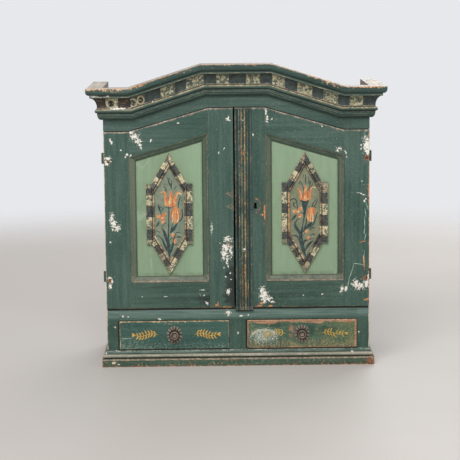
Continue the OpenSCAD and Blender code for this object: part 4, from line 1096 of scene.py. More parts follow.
def scuffed_foot(f):
    """Red-brown, orange and cream flecks over the base board, and painted shade along its top under the
    moulding.
    """
    fleck = f.noise(1.0, (170, 170, 230), 4, 0.75)
    mask = (fleck + (0.012 - f.z) * 3.0).rise(0.575, 0.615)
    hue = f.noise(120, detail=2)
    f.lay(mask * 0.85, f.ramp(hue, (0.38, (122, 66, 46)), (0.52, (178, 112, 74)), (0.66, (208, 188, 156))))
    # Painted shade along the top of the base board, under the moulding
    f.lay((f.z - 0.0262).rise(0.0, 0.0008) * 0.85, (34, 42, 34))
    front = {"y": -0.158, "deep": 0.03}
    f.lay(flaked(f, f.spots([(-400, 14, 8, 4), (-385, 9, 6, 2)], **front), 0.7), (222, 210, 180))
    corner = (1.0 - f.spots([(433, 14, 24, 16)], **front) + (fleck - 0.5) * 2).rise(0.0, 0.3)
    f.lay(corner * 0.9, hue.rise(0.35, 0.65).mix((120, 76, 56), (164, 112, 80)))


board("base_boards", "green_paint", "x", shades=((40, 64, 52), (60, 88, 72), (80, 104, 86)),
      rules=[(outer_edge(0.028, 2), 2.0, 3)], lines=foot_wear, over=scuffed_foot, dots=0.4,
      inner=lambda f: (f.y - FACE_Y).rise(0.0002, 0.0004) * (CASE_X - f.x.size()).rise(0.0002, 0.0004))


def drawer_lines(x0, x1, reach, share, *pair):
    """Wear along the four edges of a drawer front that spans x0 to x1, in metres."""
    def lines(f):
        return [(DRAWER_TOP - f.z, reach, share, pair), (f.z - DRAWER_LOW, reach * 0.6, share * 0.8, pair),
                (f.x - x0, reach * 0.8, share * 0.9, pair), (x1 - f.x, reach * 0.8, share, pair)]
    return lines


def worn_green(f):
    """The right drawer's face: green rubbed to yellow and brown, with a whitish patch."""
    blotch = f.noise(46, detail=5, rough=0.72)
    fine = f.noise(240, detail=5, rough=0.78)
    dab = f.noise(120, detail=4, rough=0.75)
    east = f.x.rise(0.22, 0.34) * 0.5 + (blotch - 0.5) * 1.6
    f.lay(east.held() * 0.9, fine.rise(0.4, 0.6).mix((56, 90, 56), (146, 142, 92)))
    shadows = f.spots([(118, 128, 36, 10), (288, 110, 34, 20), (236, 112, 14, 22)])
    shady = (1.0 - shadows + (dab - 0.5) * 3.0).rise(0.0, 0.5)
    f.lay(shady * 0.8, (42, 72, 58))
    low = (f.z - 0.056).rise(0.045, 0.004)
    brown = ((blotch - 0.5) * 2.6 + (fine - 0.5) * 5.0 + low * 0.70 - 0.38).rise(0.05, 0.3)
    rubbed = dab.rise(0.4, 0.6).mix((104, 90, 64), (156, 148, 110))
    f.lay(brown * 0.85 * (1.0 - shady * 0.7), rubbed)
    rubs = f.spots([(172, 116, 8, 12), (168, 92, 5, 6)])
    near = (1.0 - rubs + (dab - 0.5) * 5.0 + (fine - 0.5) * 2.0).rise(0.05, 0.2)
    bare = f.noise(1.0, (22, 200, 260), 4, 0.65).rise(0.32, 0.68)
    f.lay(near * 0.8, bare.mix((146, 102, 78), (190, 140, 110)))
    top = ((f.z - 0.1355) + (dab - 0.5) * 0.022 + (f.noise(18, detail=3) - 0.5) * 0.036).rise(0.0, 0.001)
    flank = (0.0345 - f.x).most(f.x - 0.3735) + (dab - 0.5) * 0.010
    foot = (0.0585 - f.z) + (dab - 0.5) * 0.010
    border = top.most(flank.rise(0.0, 0.001)).most(foot.rise(0.0, 0.001))
    f.lay(border * 0.92, bare.mix((140, 98, 72), (200, 158, 122)))
    patch = f.spot(0.083, 0.093, 0.043, 0.024)
    rim = (patch - 0.88 + (dab - 0.5) * 0.6).size().rise(0.16, 0.06) * (f.z - 0.095).rise(0.0, 0.008)
    f.lay(rim * 0.8, (216, 206, 172))
    pale = (1.0 - patch + (fine - 0.5) * 3.4 + (dab - 0.5) * 1.5).rise(0.0, 0.2)
    hue = f.noise(330, detail=4, rough=0.75).rise(0.42, 0.58).mix((98, 128, 124), (216, 214, 196))
    f.lay(pale * 0.85, hue)
    lower_left = (f.z - 0.100).rise(0.0, -0.01) * f.x.rise(0.20, 0.17)
    f.lay(f.noise(1.0, (300, 300, 12), 2).rise(0.56, 0.62) * lower_left * 0.6, (62, 66, 54))


def faded_foot(f):
    """Whitish scuffs on the left drawer's lower half, and cream flakes under its top edge."""
    flake = f.noise(1.0, (90, 90, 170), 4, 0.7)
    edge = (f.z - 0.1355) * 90.0 - (f.x + 0.215).size() * 3.2
    mask = (flake + edge * 0.16).rise(0.62, 0.66) * f.z.rise(0.118, 0.134)
    f.lay(mask * 0.9, f.noise(200).rise(0.4, 0.6).mix((176, 130, 84), (222, 208, 172)))
    corner = (f.z - 0.056).rise(0.046, 0.0) * 0.10 + f.x.rise(-0.20, -0.37) * 0.05
    low = (f.noise(300, detail=4, rough=0.75) + corner).rise(0.64, 0.70)
    f.lay(low * 0.75, (152, 166, 148))
    scratch = (f.z - 0.0925).size().rise(0.0006, 0.0002) * f.x.rise(-0.318, -0.322)
    f.lay(scratch * 0.7, (150, 150, 130))


board("left_drawer_front", grain="x", width=1.8, shades=((38, 72, 66), (55, 89, 80), (74, 106, 95)),
      lines=drawer_lines(-DRAWER_OUT, -DRAWER_IN, 0.0034, 0.55, (150, 120, 92), (210, 190, 152)),
      over=faded_foot, dots=0.35, inner=behind(DRAWER_BACK_Y))
board("right_drawer_front", "worn_paint", "x", 1.8, shades=((50, 78, 66), (70, 98, 80), (92, 114, 88)),
      lines=drawer_lines(DRAWER_IN, DRAWER_OUT, 0.0022, 0.9, (150, 112, 90), (206, 170, 142)),
      over=worn_green, inner=behind(DRAWER_BACK_Y))

for side, name in SIDES:
    board("side_" + name, shades=TEAL, rules=[(outer_edge(side * CASE_X), 1.6, 3)],
          lines=lambda f: [(f.y - FACE_Y, 0.0015, 0.5, CREAMS), (BACK_Y - f.y, 0.0025, 0.7, PINKS)],
          inner=lambda f: (CASE_X - 0.0015 - f.x.size()).rise(-0.0002, 0.0002))

# Bare boards of the inside, the back and the top
for node, grain in (
    ("roof_board", "x"), ("deck_board", "x"), ("floor_board", "x"), ("shelf", "x"), ("shelf_cleats", "y"),
    ("back_boards", "z"), ("drawer_partition", "y"), ("drawer_guides", "y"), ("left_drawer_sides", "y"),
    ("right_drawer_sides", "y"), ("left_drawer_back", "x"), ("right_drawer_back", "x"),
    ("left_drawer_bottom", "y"), ("right_drawer_bottom", "y"),
):
    finish = softwood(node + "_wood", grain, len(node) * 2.3, 3 if node == "back_boards" else 0)
    eased(node, finish, (), 0.7)


def painted_iron(name, shift, bare, plate):
    """Iron that was painted over with the case, rusty where it has worn off, and the plate's keyhole, black
    with painted shade.
    """
    f = Finish(name, shift)
    streak = board_paint(f, "z", ((46, 68, 60), (66, 90, 80), (88, 110, 100)))
    patch = f.noise(70, detail=4, rough=0.65)
    crumb = f.noise(300, detail=3)
    mask = (patch + (crumb - 0.5) * 0.5).rise(0.62 - bare * 0.2, 0.66 - bare * 0.2)
    if plate:
        edge = f.spot(0.058, 0.517, 0.018, 0.0265) + (patch - 0.5) * 0.9 + (crumb - 0.5) * 0.5
        mask = edge.rise(0.80, 0.94) * (f.x + (patch - 0.5) * 0.02).rise(0.055, 0.061)
        # Painted shade: the keyhole black, a little beyond its edge
        f.lay(f.spots([(58, 521.5, 5.2, 5.2), (58, 512.5, 5.8, 6.4)]).rise(1.05, 0.95), (8, 8, 8))
    tones = ((116, 82, 70), (172, 124, 106)) if plate else ((86, 66, 52), (156, 108, 74))
    f.lay(mask, crumb.rise(0.4, 0.6).mix(*tones))
    if not plate:
        bare_iron = f.ramp(patch, (0.35, (72, 64, 57)), (0.55, (104, 93, 82)), (0.75, (132, 106, 84)))
        f.lay((f.x.size() - CASE_X).rise(-0.0005, -0.0015), bare_iron)
    return f.done(0.5 + mask * 0.2, streak * 0.2 - mask, 0.0004)


def dress(node, finish):
    """Gives a finish to a solid that stays as the CAD has it."""
    solid = nodes[node]
    solid.data.materials.clear()
    solid.data.materials.append(finish)


# What of the iron was painted over, and how worn it is; the rest is bare
PAINTED = {"keyhole_plate": 0.35, "hinge_case_leaves": 0.15, "hinge_pins": 0.4, "left_hinge_leaves": 0.1,
           "right_hinge_leaves": 0.3}
for i, node in enumerate((
    "hinge_case_leaves", "hinge_pins", "hinge_case_nails", "left_hinge_leaves", "right_hinge_leaves",
    "left_hinge_nails", "right_hinge_nails", "rod_guides", "rod_bolt", "lock_keeper", "lock_case",
    "lock_bolt", "keyhole_plate",
)):
    if node in PAINTED:
        finish = painted_iron(node + "_iron", i, PAINTED[node], node == "keyhole_plate")
    else:
        finish = forged(node + "_iron", 3.3 * i, 0.75 if "nail" in node else 0.5)
    dress(node, finish)
for side, name in SIDES:
    dress(name + "_panel", panel_paint(name + "_panel_paint", side))

# Mouldings of the case, in mm. A joint keeps a hairline open
X, Y, Z = Vector((1, 0, 0)), Vector((0, 1, 0)), Vector((0, 0, 1))
HAIR = 0.1
HALF_W, FRONT, BACK = CASE_X / MM, FACE_Y / MM, BACK_Y / MM
BASE_Z, CORNICE_Z = 28, 795
BREAKS = ((-421, CORNICE_Z), (-327, CORNICE_Z), (-97, 868), (97, 868), (327, CORNICE_Z), (421, CORNICE_Z))
LEAN = math.tan(math.atan2(73, 230) / 2)
COVE_BLOCKS = [(-411, -374), (-335, -288), (-242, -195), (-160, -104), (-66, -27),
               (29, 71), (110, 152), (190, 235), (273, 317), (353, 398)]
SIDE_BLOCKS = [(-168, -136), (-92, -50), (-4, 40), (86, 128), (168, 190)]
RINGS = [(-393, 847, 15, 15), (-324, 849, 12, 14, 10), (-300, 857, 11, 14, -10)]
CROWN_CHALK = [(-443, 871, 13, 3), (-403, 871, 6, 3), (-372, 831, 26, 3), (-262, 852, 3, 2), (150, 842, 3, 2)]
# Lengths of the crown whose paint has gone: middle, half length and how far down
BARE_EDGE = [(-400, 72, 5.0), (-255, 75, 1.0), (-60, 120, -0.5), (160, 60, 0.8), (285, 66, 3.2),
             (400, 60, 3.6)]
front_cornice = cornice_paint("front_cornice_paint", COVE_BLOCKS, "x", 0.0, RINGS, CROWN_CHALK, BARE_EDGE)
side_cornice = cornice_paint("side_cornice_paint", SIDE_BLOCKS, "y", 4.0, bare_edge=[(0, 400, 2.0)])

# At each end of a length: how far its cut follows a point's projection, and LEAN times its height. The case's
# corners follow the projection, and the breaks lean one way or the other
CORNICE_CUTS = (((-1, 0), (0, -1)), ((0, 1), (0, 1)), ((0, -1), (0, 1)), ((0, -1), (0, -1)), ((0, 1), (1, 0)))


def cut(at=0.0, by_projection=0.0, by_height=0.0):
    """Where along its run a moulding is cut for each point of its section."""
    return lambda p, h: at + by_projection * p + by_height * h


lengths = ("cornice_flats", "cornice_slopes", "cornice_centre", "cornice_slopes", "cornice_flats")
for i, (node, (first, last)) in enumerate(zip(lengths, CORNICE_CUTS)):
    a, b = (Vector((x, FRONT, z)) for x, z in BREAKS[i:i + 2])
    run = (b - a).normalized()
    start = cut(HAIR, first[0], first[1] * LEAN)
    end = cut((b - a).length - HAIR, last[0], last[1] * LEAN)
    swept(f"cornice_{i}", CORNICE, a, run, -Y, (-Y).cross(run), start, end, front_cornice, "case",
          node, 5.0, 1.4)

# Lines along the base moulding: wear at the top of its hollow, a painted highlight along the round, and a
# line of painted shade in the crease above the round
BASE_WEAR_HIGHLIGHT_AND_SHADE = lines_across((
    (0.0215, 0.0020, 0.35, ((120, 132, 120), (184, 184, 166))),
    (0.0075, 0.0040, 0.30, ((156, 154, 138), (190, 184, 164))),
    (0.0137, 0.0008, 1.1, ((52, 60, 50), (70, 78, 66))),
))


def base_tones(f):
    """Green hollow above a dusty round, with painted shade underneath and in the gap under the drawers."""
    across = f.attribute("across")
    dusty = f.noise(60, (0.3, 1, 1), 3).rise(0.3, 0.7)
    f.lay(across.rise(0.0135, 0.0150), dusty.mix((52, 76, 66), (92, 112, 100)))
    # Painted shade under the round and in the gap under the drawers
    under = across.rise(0.0018, 0.0006) * 0.85
    beneath_drawer = ((f.x.size() - PULL_X).size() - 0.177).rise(0.002, -0.001)
    gap = across.rise(0.0224, 0.0236) * beneath_drawer * f.y.rise(-0.139, -0.140)
    f.lay(under.most(gap * 0.9), (22, 26, 22))


base_front = green_paint(
    "base_moulding_paint", "x", 2.0, ((108, 114, 100), (148, 146, 130), (176, 170, 152)),
    BASE_WEAR_HIGHLIGHT_AND_SHADE, [(-425, 44, 3, 3), (-393, 52, 2, 2), (366, 42, 3, 3)], over=base_tones, dots=0.4, inner=None)
depth = cut(BACK - FRONT - HAIR, 1)
for side, name in SIDES:
    for kind, section, low, finish, slot, node, step, wear in (
        ("cornice_return", CORNICE, CORNICE_Z, side_cornice, "cornice_paint", "cornice_returns", 5.0, 1.2),
        ("base_moulding", BASE_MOULD, BASE_Z, base_front, "moulding_paint", "base_mouldings", 8.0, 0.5),
    ):
        swept(f"{kind}_{name}", section, Vector((side * HALF_W, BACK, low)), -Y, X * side, Z, cut(), depth,
              finish, "case", node, step, wear)
swept("base_moulding_front", BASE_MOULD, Vector((-HALF_W, FRONT, BASE_Z)), X, -Y, Z, cut(HAIR, -1),
      cut(2 * HALF_W - HAIR, 1), base_front, "case", "base_mouldings", 6.0, 0.5)

# Mouldings round the panels
OPENING = ((90, 271), (341, 271), (341, 677), (90, 750))
PANEL_FACE = PANEL_Y / MM
# Colours of each moulding, with painted light and shade by the way it faces: the top darker in shade, the
# foot paler, and the sides that face right lighter than those that face left
MOULD_LIT_AND_SHADED = {
    "left": {
        "foot": ((64, 78, 65), (84, 97, 84), (106, 114, 96)),
        "outer": ((76, 92, 74), (97, 111, 93), (112, 124, 104)),
        "top": ((50, 70, 58), (68, 88, 74), (86, 104, 88)),
        "inner": ((50, 70, 56), (68, 88, 72), (86, 102, 86)),
    },
    "right": {
        "foot": ((62, 75, 63), (84, 95, 83), (108, 113, 99)),
        "outer": ((54, 70, 58), (74, 88, 74), (92, 104, 88)),
        "top": ((46, 64, 54), (62, 82, 70), (80, 98, 84)),
        "inner": ((62, 80, 66), (82, 98, 82), (100, 112, 94)),
    },
}
for side, door in SIDES:
    corners = [Vector((side * x, PANEL_FACE, z)) for x, z in OPENING]
    for i, (part, shades) in enumerate(MOULD_LIT_AND_SHADED[door].items()):
        before, a, b, after = (corners[(i + k) % 4] for k in (-1, 0, 1, 2))
        run = (b - a).normalized()
        inward = Vector((-run.z, 0, run.x)) * side
        first, last = (1 / math.tan((p - q).angle(r - q) / 2) for p, q, r in ((before, a, b), (a, b, after)))
        finish = mould_paint(f"{door}_{part}_moulding_paint", side + i, shades)
        swept(f"{door}_panel_moulding_{part}", PANEL_MOULD, a, run, -Y, inward, cut(HAIR, 0, first),
              cut((b - a).length - HAIR, 0, -last), finish, door + "_door",
              door + "_panel_moulding", 6.0, 0.9)

# Block-painted hexagons: uprights from foot to head, slants from their tip to the neck
BEADS = {
    "pale": ((122, 96, 76), (210, 188, 158)), "dark": ((40, 40, 36), (100, 88, 74)),
    "brown": ((84, 68, 56), (176, 142, 112)), "orange": ((132, 86, 62), (218, 168, 122)),
}
BLOCKS = {
    ("left", "left"): ("brown", "c14 D48 C86 D124 C158 D180 C193"),
    ("left", "right"): ("brown", "g8 D48 C88 D131 C170 D193"),
    ("right", "left"): ("orange", "g12 D36 P53 C95 D127 C163 D193"),
    ("right", "right"): ("brown", "D23 C53 D88 C125 D160 P193"),
    ("left", "upper_left"): ("pale", "K28 C54 D84 C106 K160"),
    ("left", "upper_right"): ("dark", "C38 D75 C106 D160"),
    ("left", "lower_left"): ("pale", "c28 D52 P72 d105 C160"),
    ("left", "lower_right"): ("brown", "g10 C54 D88 C125 c160"),
    ("right", "upper_left"): ("brown", "P35 D67 C99 D160"),
    ("right", "upper_right"): ("dark", "D42 c73 D105 P160"),
    ("right", "lower_left"): ("pale", "g24 d44 c58 d84 P98 D160"),
    ("right", "lower_right"): ("dark", "g10 P35 D61 C93 D160"),
}
slant_run = Vector((math.cos(HEX_SLOPE), 0, -math.sin(HEX_SLOPE)))
SLANT = (HEX_TIP - HEX_SIDE) / math.sin(HEX_SLOPE)
in_step = Vector((HEX_IN[0] - HEX_NECK, 0, HEX_IN[1] - HEX_SIDE))
NECK_CUT = in_step.dot(slant_run) / HEX_SLANT
TIP_CUT = math.tan(HEX_SLOPE)
UPRIGHT_CUT = (HEX_SIDE - HEX_IN[1]) / (HEX_NECK - HEX_IN[0])


def shoulder_cut(at, way):
    """The cut of an upright: square over its ear and slanted further in."""
    return lambda p, h: at + way * (max(0.0, h - EAR) * UPRIGHT_CUT + HAIR)


def hexagon_strip(door, place, finish, width, origin, run, inward, start, end):
    """One strip of the hexagon on a door."""
    swept(f"{door}_hexagon_{place}", strip_section(width), origin, run, -Y, inward, start, end, finish,
          door + "_door", door + "_hexagon", 5.0, 0.7)


for side, door in SIDES:
    x, z = side * HEX_X / MM, HEX_Z / MM
    for u, flank in SIDES:
        foot = Vector((x + u * HEX_HALF, PANEL_FACE, z - HEX_SIDE))
        finish = block_paint(f"{door}_{flank}_upright_paint", *BLOCKS[door, flank], 193, HEX_UPRIGHT,
                             x * 0.01 + u)
        hexagon_strip(door, flank, finish, HEX_UPRIGHT, foot, Z, X * -u, shoulder_cut(0, 1),
                      shoulder_cut(2 * HEX_SIDE, -1))
        for v, height in ((1, "upper"), (-1, "lower")):
            place = f"{height}_{flank}"
            tip = Vector((x, PANEL_FACE, z + v * HEX_TIP))
            run = Vector((u * slant_run.x, 0, v * slant_run.z))
            inward = Vector((-u * math.sin(HEX_SLOPE), 0, -v * math.cos(HEX_SLOPE)))
            finish = block_paint(f"{door}_{place}_paint", *BLOCKS[door, place], 160, HEX_SLANT,
                                 x * 0.02 + u + 2 * v)
            hexagon_strip(door, place, finish, HEX_SLANT, tip, run, inward, cut(HAIR, 0, TIP_CUT),
                          cut(SLANT - HAIR, 0, NECK_CUT))

# Broken light lines along the beads, reeds and ridges of the closing strip
STRIP_WEAR = lines_across((
    (0.0030, 0.0010, 0.12, ORANGES), (0.0135, 0.0011, 0.15, CREAMS), (0.0221, 0.0010, 0.40, GILT),
    (0.0178, 0.0008, 0.22, CREAMS), (0.0309, 0.0013, 0.56, GILT), (0.0352, 0.0008, 0.18, CREAMS),
    (0.0395, 0.0009, 0.14, GILT), (0.0500, 0.0010, 0.22, PINKS), (0.0006, 0.0010, 0.30, PINKS),
    (0.0524, 0.0010, 0.30, PINKS),
))
# The closing strip gets painted shade down its left side, by the gap beside it
strip_finish = green_paint(
    "closing_strip_paint", "z", 6.0, ((34, 54, 52), (52, 75, 71), (72, 96, 90)), STRIP_WEAR,
    chalk=[(21, 790, 3, 3), (22, 378, 4, 5)], shade_and_soot=[(0, 500, 12, 200)], dots=0.25,
    wood=[(16, 694, 4, 3), (21, 686, 3, 14), (23, 300, 3, 34), (29, 240, 3, 30)])
strip_foot = [(0, 0), (8.4, 0), (9, 0.6), (9, 52.4), (8.4, 53), (0, 53)]
for name, section, low, length, step, wear in (
    ("closing_strip", reeded_section(), 195, 631.0, 6.0, 0.6),
    ("closing_strip_foot", strip_foot, 181, 14.0, 3.5, 0.8),
):
    swept(name, section, Vector((-6, DOOR_Y / MM, low)), Z, -Y, X, cut(), cut(length), strip_finish,
          "right_door", "centre_strip", step, wear)

# Flower sprays on the panels, as brush strokes: x and z from the hexagon's centre and width, in mm
SPRAYS = {
    ("left", "stem"): [
        [(-4.5, -76, 3.5), (-5, -98, 9.5), (-3.6, -118, 11), (-0.8, -142, 3)],
        [(20.8, -62, 1.2), (13.3, -80, 3.6), (9.4, -98.7, 5.6), (3.1, -124, 5)],
        [(-31.2, -59.9, 1.6), (-39.1, -55, 1.4), (-45.5, -55.7, 0.9)],
        [(22.4, -74.6, 1.6), (29.2, -72.7, 2.2), (37.2, -76, 1.2)],
        [(16.1, -96.8, 1.4), (22.1, -100.9, 1.1)],
        [(-1.3, 25.5, 3.6), (-2.2, -2.8, 3.8), (-3.2, -37.1, 4.2), (-4.3, -65.1, 4.8), (-5.4, -93.1, 5.6),
        (-4.6, -114.6, 6.4)],
        [(-14, 24.1, 1.3), (-8.5, 20.9, 2.1), (-1.8, 16.9, 1.7)],
        [(17.8, 22.8, 1.3), (9.8, 22.9, 1.9), (1.2, 17.6, 1.7)],
        [(0.9, -62, 2.1), (12.5, -48.5, 11.6), (25.6, -29.2, 1.5)],
        [(0.7, -61.2, 1.7), (5.1, -47.9, 2.5), (9, -31.2, 1.3)],
        [(-23.5, -47.1, 1.2), (-17.8, -58.6, 8), (-13, -74.6, 9.4), (-6.3, -98.2, 5)],
        [(-27.2, -76.9, 1.1), (-22.4, -86.4, 5.4), (-17, -100.4, 7.2), (-8.9, -118.6, 5)],
        [(-25.2, -82.1, 1.9), (-34.6, -72.2, 1.5), (-42, -71.1, 1.3), (-45.3, -76.4, 0.6)],
        [(-15.2, -59.6, 1.1), (-24.6, -47.6, 1.1), (-21.2, -34.8, 1.1), (-10.5, -29.4, 0.8)],
        [(-34.7, 29.8, 2.5), (-32.7, 17.9, 6.3), (-29.5, 8.2, 2.9), (-26, -1.4, 1.1)],
        [(-33.2, 19.1, 3.8), (-24.6, 22.8, 1.7)], [(-24.8, 9.2, 1.5), (-22.2, 15.6, 2.5), (-17.8, 21, 1.1)],
        [(-33.4, -23.4, 1.7), (-36.5, -31.4, 7.2), (-42.1, -39.9, 4.6)],
        [(7, 78, 0.8), (6.7, 89.1, 4.2), (9.5, 106.1, 1.7)],
        [(6, 86, 1.1), (0.9, 97.8, 5.1), (-4.6, 116.5, 1.7)],
        [(4.6, 106.2, 1.1), (1.1, 113.8, 2.1), (-2, 115.2, 0.8)],
        [(-12.9, 70.1, 0.8), (-11, 79.8, 1.7), (-16.6, 88.4, 1.5)],
        [(-10.1, 73.4, 0.8), (-13.1, 83, 1.3), (-17.7, 86.9, 1.1)],
        [(-7, 68, 0.8), (-8.5, 77.5, 1.1), (-11, 83, 0.6)], [(-15.1, 91.5, 1.3), (-16.7, 94, 0.8)],
        [(16.5, 77.2, 0.8), (20, 83.6, 1.7), (23.4, 87.9, 1.1)],
        [(28.4, 18.4, 1.7), (29, 33.4, 2.9), (35.7, 56.8, 1.7)], [(30.2, 31.1, 2.1), (31.9, 41.9, 1.1)],
        [(39.7, 42.9, 2.7), (38.9, 41.4, 2.7)], [(40.4, 30.6, 2.9), (39.5, 28.5, 2.9)],
        [(37.7, 50.4, 1.7), (36.9, 48.6, 1.7)],
        [(38.5, 13.9, 1.1), (41.3, 1.1, 2.9), (38.9, -16.1, 4.6), (27.7, -27.8, 1.7)],
        [(39.8, 3.2, 1.7), (41, 13.9, 1.1)], [(-4, -88.8, 2.1), (3.6, -80.1, 1.7), (8.3, -77.1, 1.1)],
        [(-3.1, -103.9, 2.1), (7.6, -98.6, 1.9), (16.2, -93.2, 1.1)],
        [(18.8, -59.9, 1.3), (26.2, -59.9, 2.7), (34.1, -60.8, 1.3)],
        [(22.8, -73.9, 1.7), (29.2, -77.2, 2.1), (37.3, -75.1, 1.7)],
        [(16.4, -78.1, 1.1), (25, -72.9, 1.7)], [(-2.2, -110.4, 1.3), (9.6, -104, 1.7), (22.5, -96.6, 0.8)],
    ],
    ("left", "petal"): [
        [(-7.6, 28.4, 13.5), (-11.2, 42.4, 11.8), (-11.8, 59.5, 8.4), (-17.5, 69.8, 6.3),
        (-27.3, 67.8, 1.7)],
        [(4.1, 27.1, 19.4), (4.6, 44.2, 17.7), (5.2, 61.4, 10.5), (5.9, 76, 1.7)],
        [(14.1, 28.1, 14.7), (18.1, 42, 12.2), (20.9, 59, 8.4), (28, 68, 7.2), (37.1, 65.8, 2.1)],
        [(18, -28.1, 11), (18.6, -15.9, 22.8), (18.7, -2.9, 28.7), (18.9, 9.9, 24.9), (19.9, 21.6, 8.4)],
        [(-25.6, -13.2, 7.2), (-33.6, -9.2, 9.3), (-41.2, -6.6, 4.6)],
        [(-24.1, -11.1, 7.2), (-18.6, -2.6, 9.7), (-9.6, 1.6, 3.8)],
        [(-24.1, -15.4, 7.2), (-21.5, -23.9, 10.1), (-23.3, -32.6, 4.2)],
        [(-21.3, -13.2, 7.2), (-15.6, -13.4, 7.2), (-12.4, -13.4, 2.1)],
        [(-29.3, -6.8, 6.3), (-31.4, -2.4, 3.4)],
        [(10.1, -74.2, 6.3), (9.7, -68.4, 11), (10.7, -61.9, 3.4)],
        [(15.7, -95.4, 5.1), (16.3, -87.9, 11.8), (17.6, -80.4, 2.9)],
    ],
    ("left", "light"): [
        [(1.4, 29, 5.1), (1.5, 38, 7.2), (2.9, 48.5, 1.3)], [(5.2, 33.5, 2.1), (10, 42, 1.3)],
        [(-1.1, 33.6, 2.1), (-3.1, 42.2, 1.1)],
        [(20.7, 48.4, 2.1), (23, 59, 3.4), (29.5, 65.9, 3.8), (37.9, 63.1, 4.6), (35.7, 59, 1.7)],
        [(-11.7, 33.8, 2.5), (-14.1, 46.6, 1.1)], [(14.2, 33.5, 2.9), (17.2, 42, 1.3)],
        [(9.1, -25.4, 3.4), (11.3, -15.8, 2.9), (9.4, -5.1, 2.5), (10.8, 5.6, 1.1)],
        [(17.1, -27.6, 2.9), (16.9, -13.6, 2.5), (17.9, 1.4, 1.1)],
        [(24.6, -26.6, 4.2), (28.3, -15.9, 4.2), (27, -3.1, 2.9), (24, 7.6, 1.1)],
        [(21.4, -24.4, 2.1), (22, -13.8, 1.1)], [(-22.6, -13.2, 8.4), (-23.5, -12.4, 8)],
        [(-12.7, -2.6, 2.9), (-9.2, 2.6, 2.5)], [(-23.3, -29.4, 2.9), (-22.8, -25.1, 1.7)],
        [(-37.9, -13.1, 2.1), (-38.7, -7.8, 1.3)], [(8.4, -69.4, 2.5), (8.5, -64.1, 1.3)],
        [(14.1, -91.1, 2.1), (16.3, -82.4, 1.3)],
    ],
    ("left", "deep"): [
        [(5.8, -15.8, 1.7), (5.1, -2.9, 2.5), (9.6, 12.1, 2.1), (17.8, 20.1, 1.3)],
        [(13.3, -23.4, 1.3), (14.4, -7.2, 1.9), (15.9, 5.6, 0.8)],
        [(21.8, -23.4, 1.3), (23.3, -7.4, 1.9), (22.7, 5.6, 0.8)],
        [(29.5, -20.2, 1.3), (32.3, -5.2, 1.9), (28.3, 10.9, 0.8)],
        [(-4.1, 33.6, 1.1), (-2, 48.6, 1.7), (2.7, 63.5, 0.8)],
        [(12, 31.4, 1.1), (10.1, 48.5, 1.7), (7, 63.5, 0.8)], [(-33.7, -13.1, 1.7), (-35.8, -15.2, 1.3)],
        [(-25, -4.6, 1.3), (-22.5, -8.6, 1.7)], [(-18.9, -19.8, 1.3), (-25.3, -21.4, 1.7)],
    ],
    ("right", "stem"): [
        [(-7, -48, 4.5), (-12.4, -73.4, 10.5), (-11, -94.6, 12.4), (-5.5, -118, 12), (2, -142, 3)],
        [(-40.6, -75.2, 1), (-28.2, -73.4, 2.2), (-21.2, -84, 3), (-14.9, -99, 3.2)],
        [(31.8, -84, 1.2), (14, -87.5, 2.6), (0, -94.6, 3.6), (-5.3, -105.2, 4)],
        [(-1.1, 41.8, 4.2), (-0.7, 26.8, 16), (0.1, 5.2, 9), (-1.2, -11.9, 5), (-6.3, -39.8, 4.2),
        (-11, -63.4, 7), (-13, -84.9, 7.2), (-10.9, -106.4, 7), (-4.6, -123.8, 5.5)],
        [(-14.9, 37.5, 1.7), (-7, 35.4, 7.2), (-2.2, 22.5, 6.3)],
        [(12.1, 38.4, 2.1), (8.5, 33, 7.2), (3.5, 15.9, 4.2)],
        [(1.2, 99.5, 1.1), (2.9, 110, 1.5), (2.1, 121.9, 0.8)],
        [(4.6, 88.8, 0.8), (2.5, 99.5, 1.3), (5.5, 114.4, 1.1)],
        [(11.8, 107.9, 1.3), (14.4, 101.5, 2.1), (11.8, 93, 1.1)],
        [(10.7, 70.5, 1.3), (16.5, 86.5, 2.3), (20.3, 100.2, 1.3)],
        [(12.8, 69.4, 1.1), (22, 84.2, 1.7), (25.8, 92.8, 1.1)], [(16.5, 88.5, 1.1), (11.9, 114.2, 0.8)],
        [(-6.9, 86.2, 1.5), (-11.5, 96.4, 1.9), (-18.7, 99.6, 1.1)], [(-15.4, 90.6, 2.9), (-18.3, 95, 2.1)],
        [(-2.7, 67.5, 1.1), (-5.2, 82.5, 1.5), (-10.5, 91, 0.8)], [(-5.1, 110.1, 1.1), (-3.4, 120.9, 0.8)],
        [(-22.8, 14.1, 1.7), (-26.2, 35.5, 3.4), (-32.9, 43.8, 3.8), (-41.9, 42.1, 2.5),
        (-44.9, 37.5, 1.1)],
        [(-27.7, 16.4, 1.3), (-34.1, 20.6, 3.4), (-35.1, 29.2, 4.6), (-29.2, 31.4, 2.5)],
        [(22.7, 15.4, 1.7), (24.8, 25.4, 2.9), (32.9, 36, 2.1), (41.9, 43, 1.1)],
        [(24.4, 15.8, 1.7), (32.5, 22, 3.4), (41.8, 39.1, 2.1)], [(30.7, 13.6, 2.1), (36.7, 15.1, 1.3)],
        [(43.5, 0.4, 1.3), (38.8, -5.9, 2.9), (33.2, -23.1, 4.2), (27.5, -38.1, 5), (15.7, -46.4, 6.6),
        (-3.5, -58.1, 5.4), (-12, -67.6, 4.2)],
        [(24.1, -31.6, 3.5), (14.6, -40.9, 10.4), (0.8, -52.6, 5.6)],
        [(5.6, -18.4, 2.1), (3.4, -39.9, 4.2), (-3.5, -51.6, 3.4)],
        [(-26.3, -7.4, 2.1), (-33.1, -14.8, 8), (-42.1, -25.4, 3.4)],
        [(-17.8, -5.2, 0.8), (-5.4, -1.1, 1.7), (-2.9, -11.9, 1.7)],
        [(-14.9, -18.6, 1.3), (-25.1, -24.6, 2.1), (-28.5, -33.1, 2.1)],
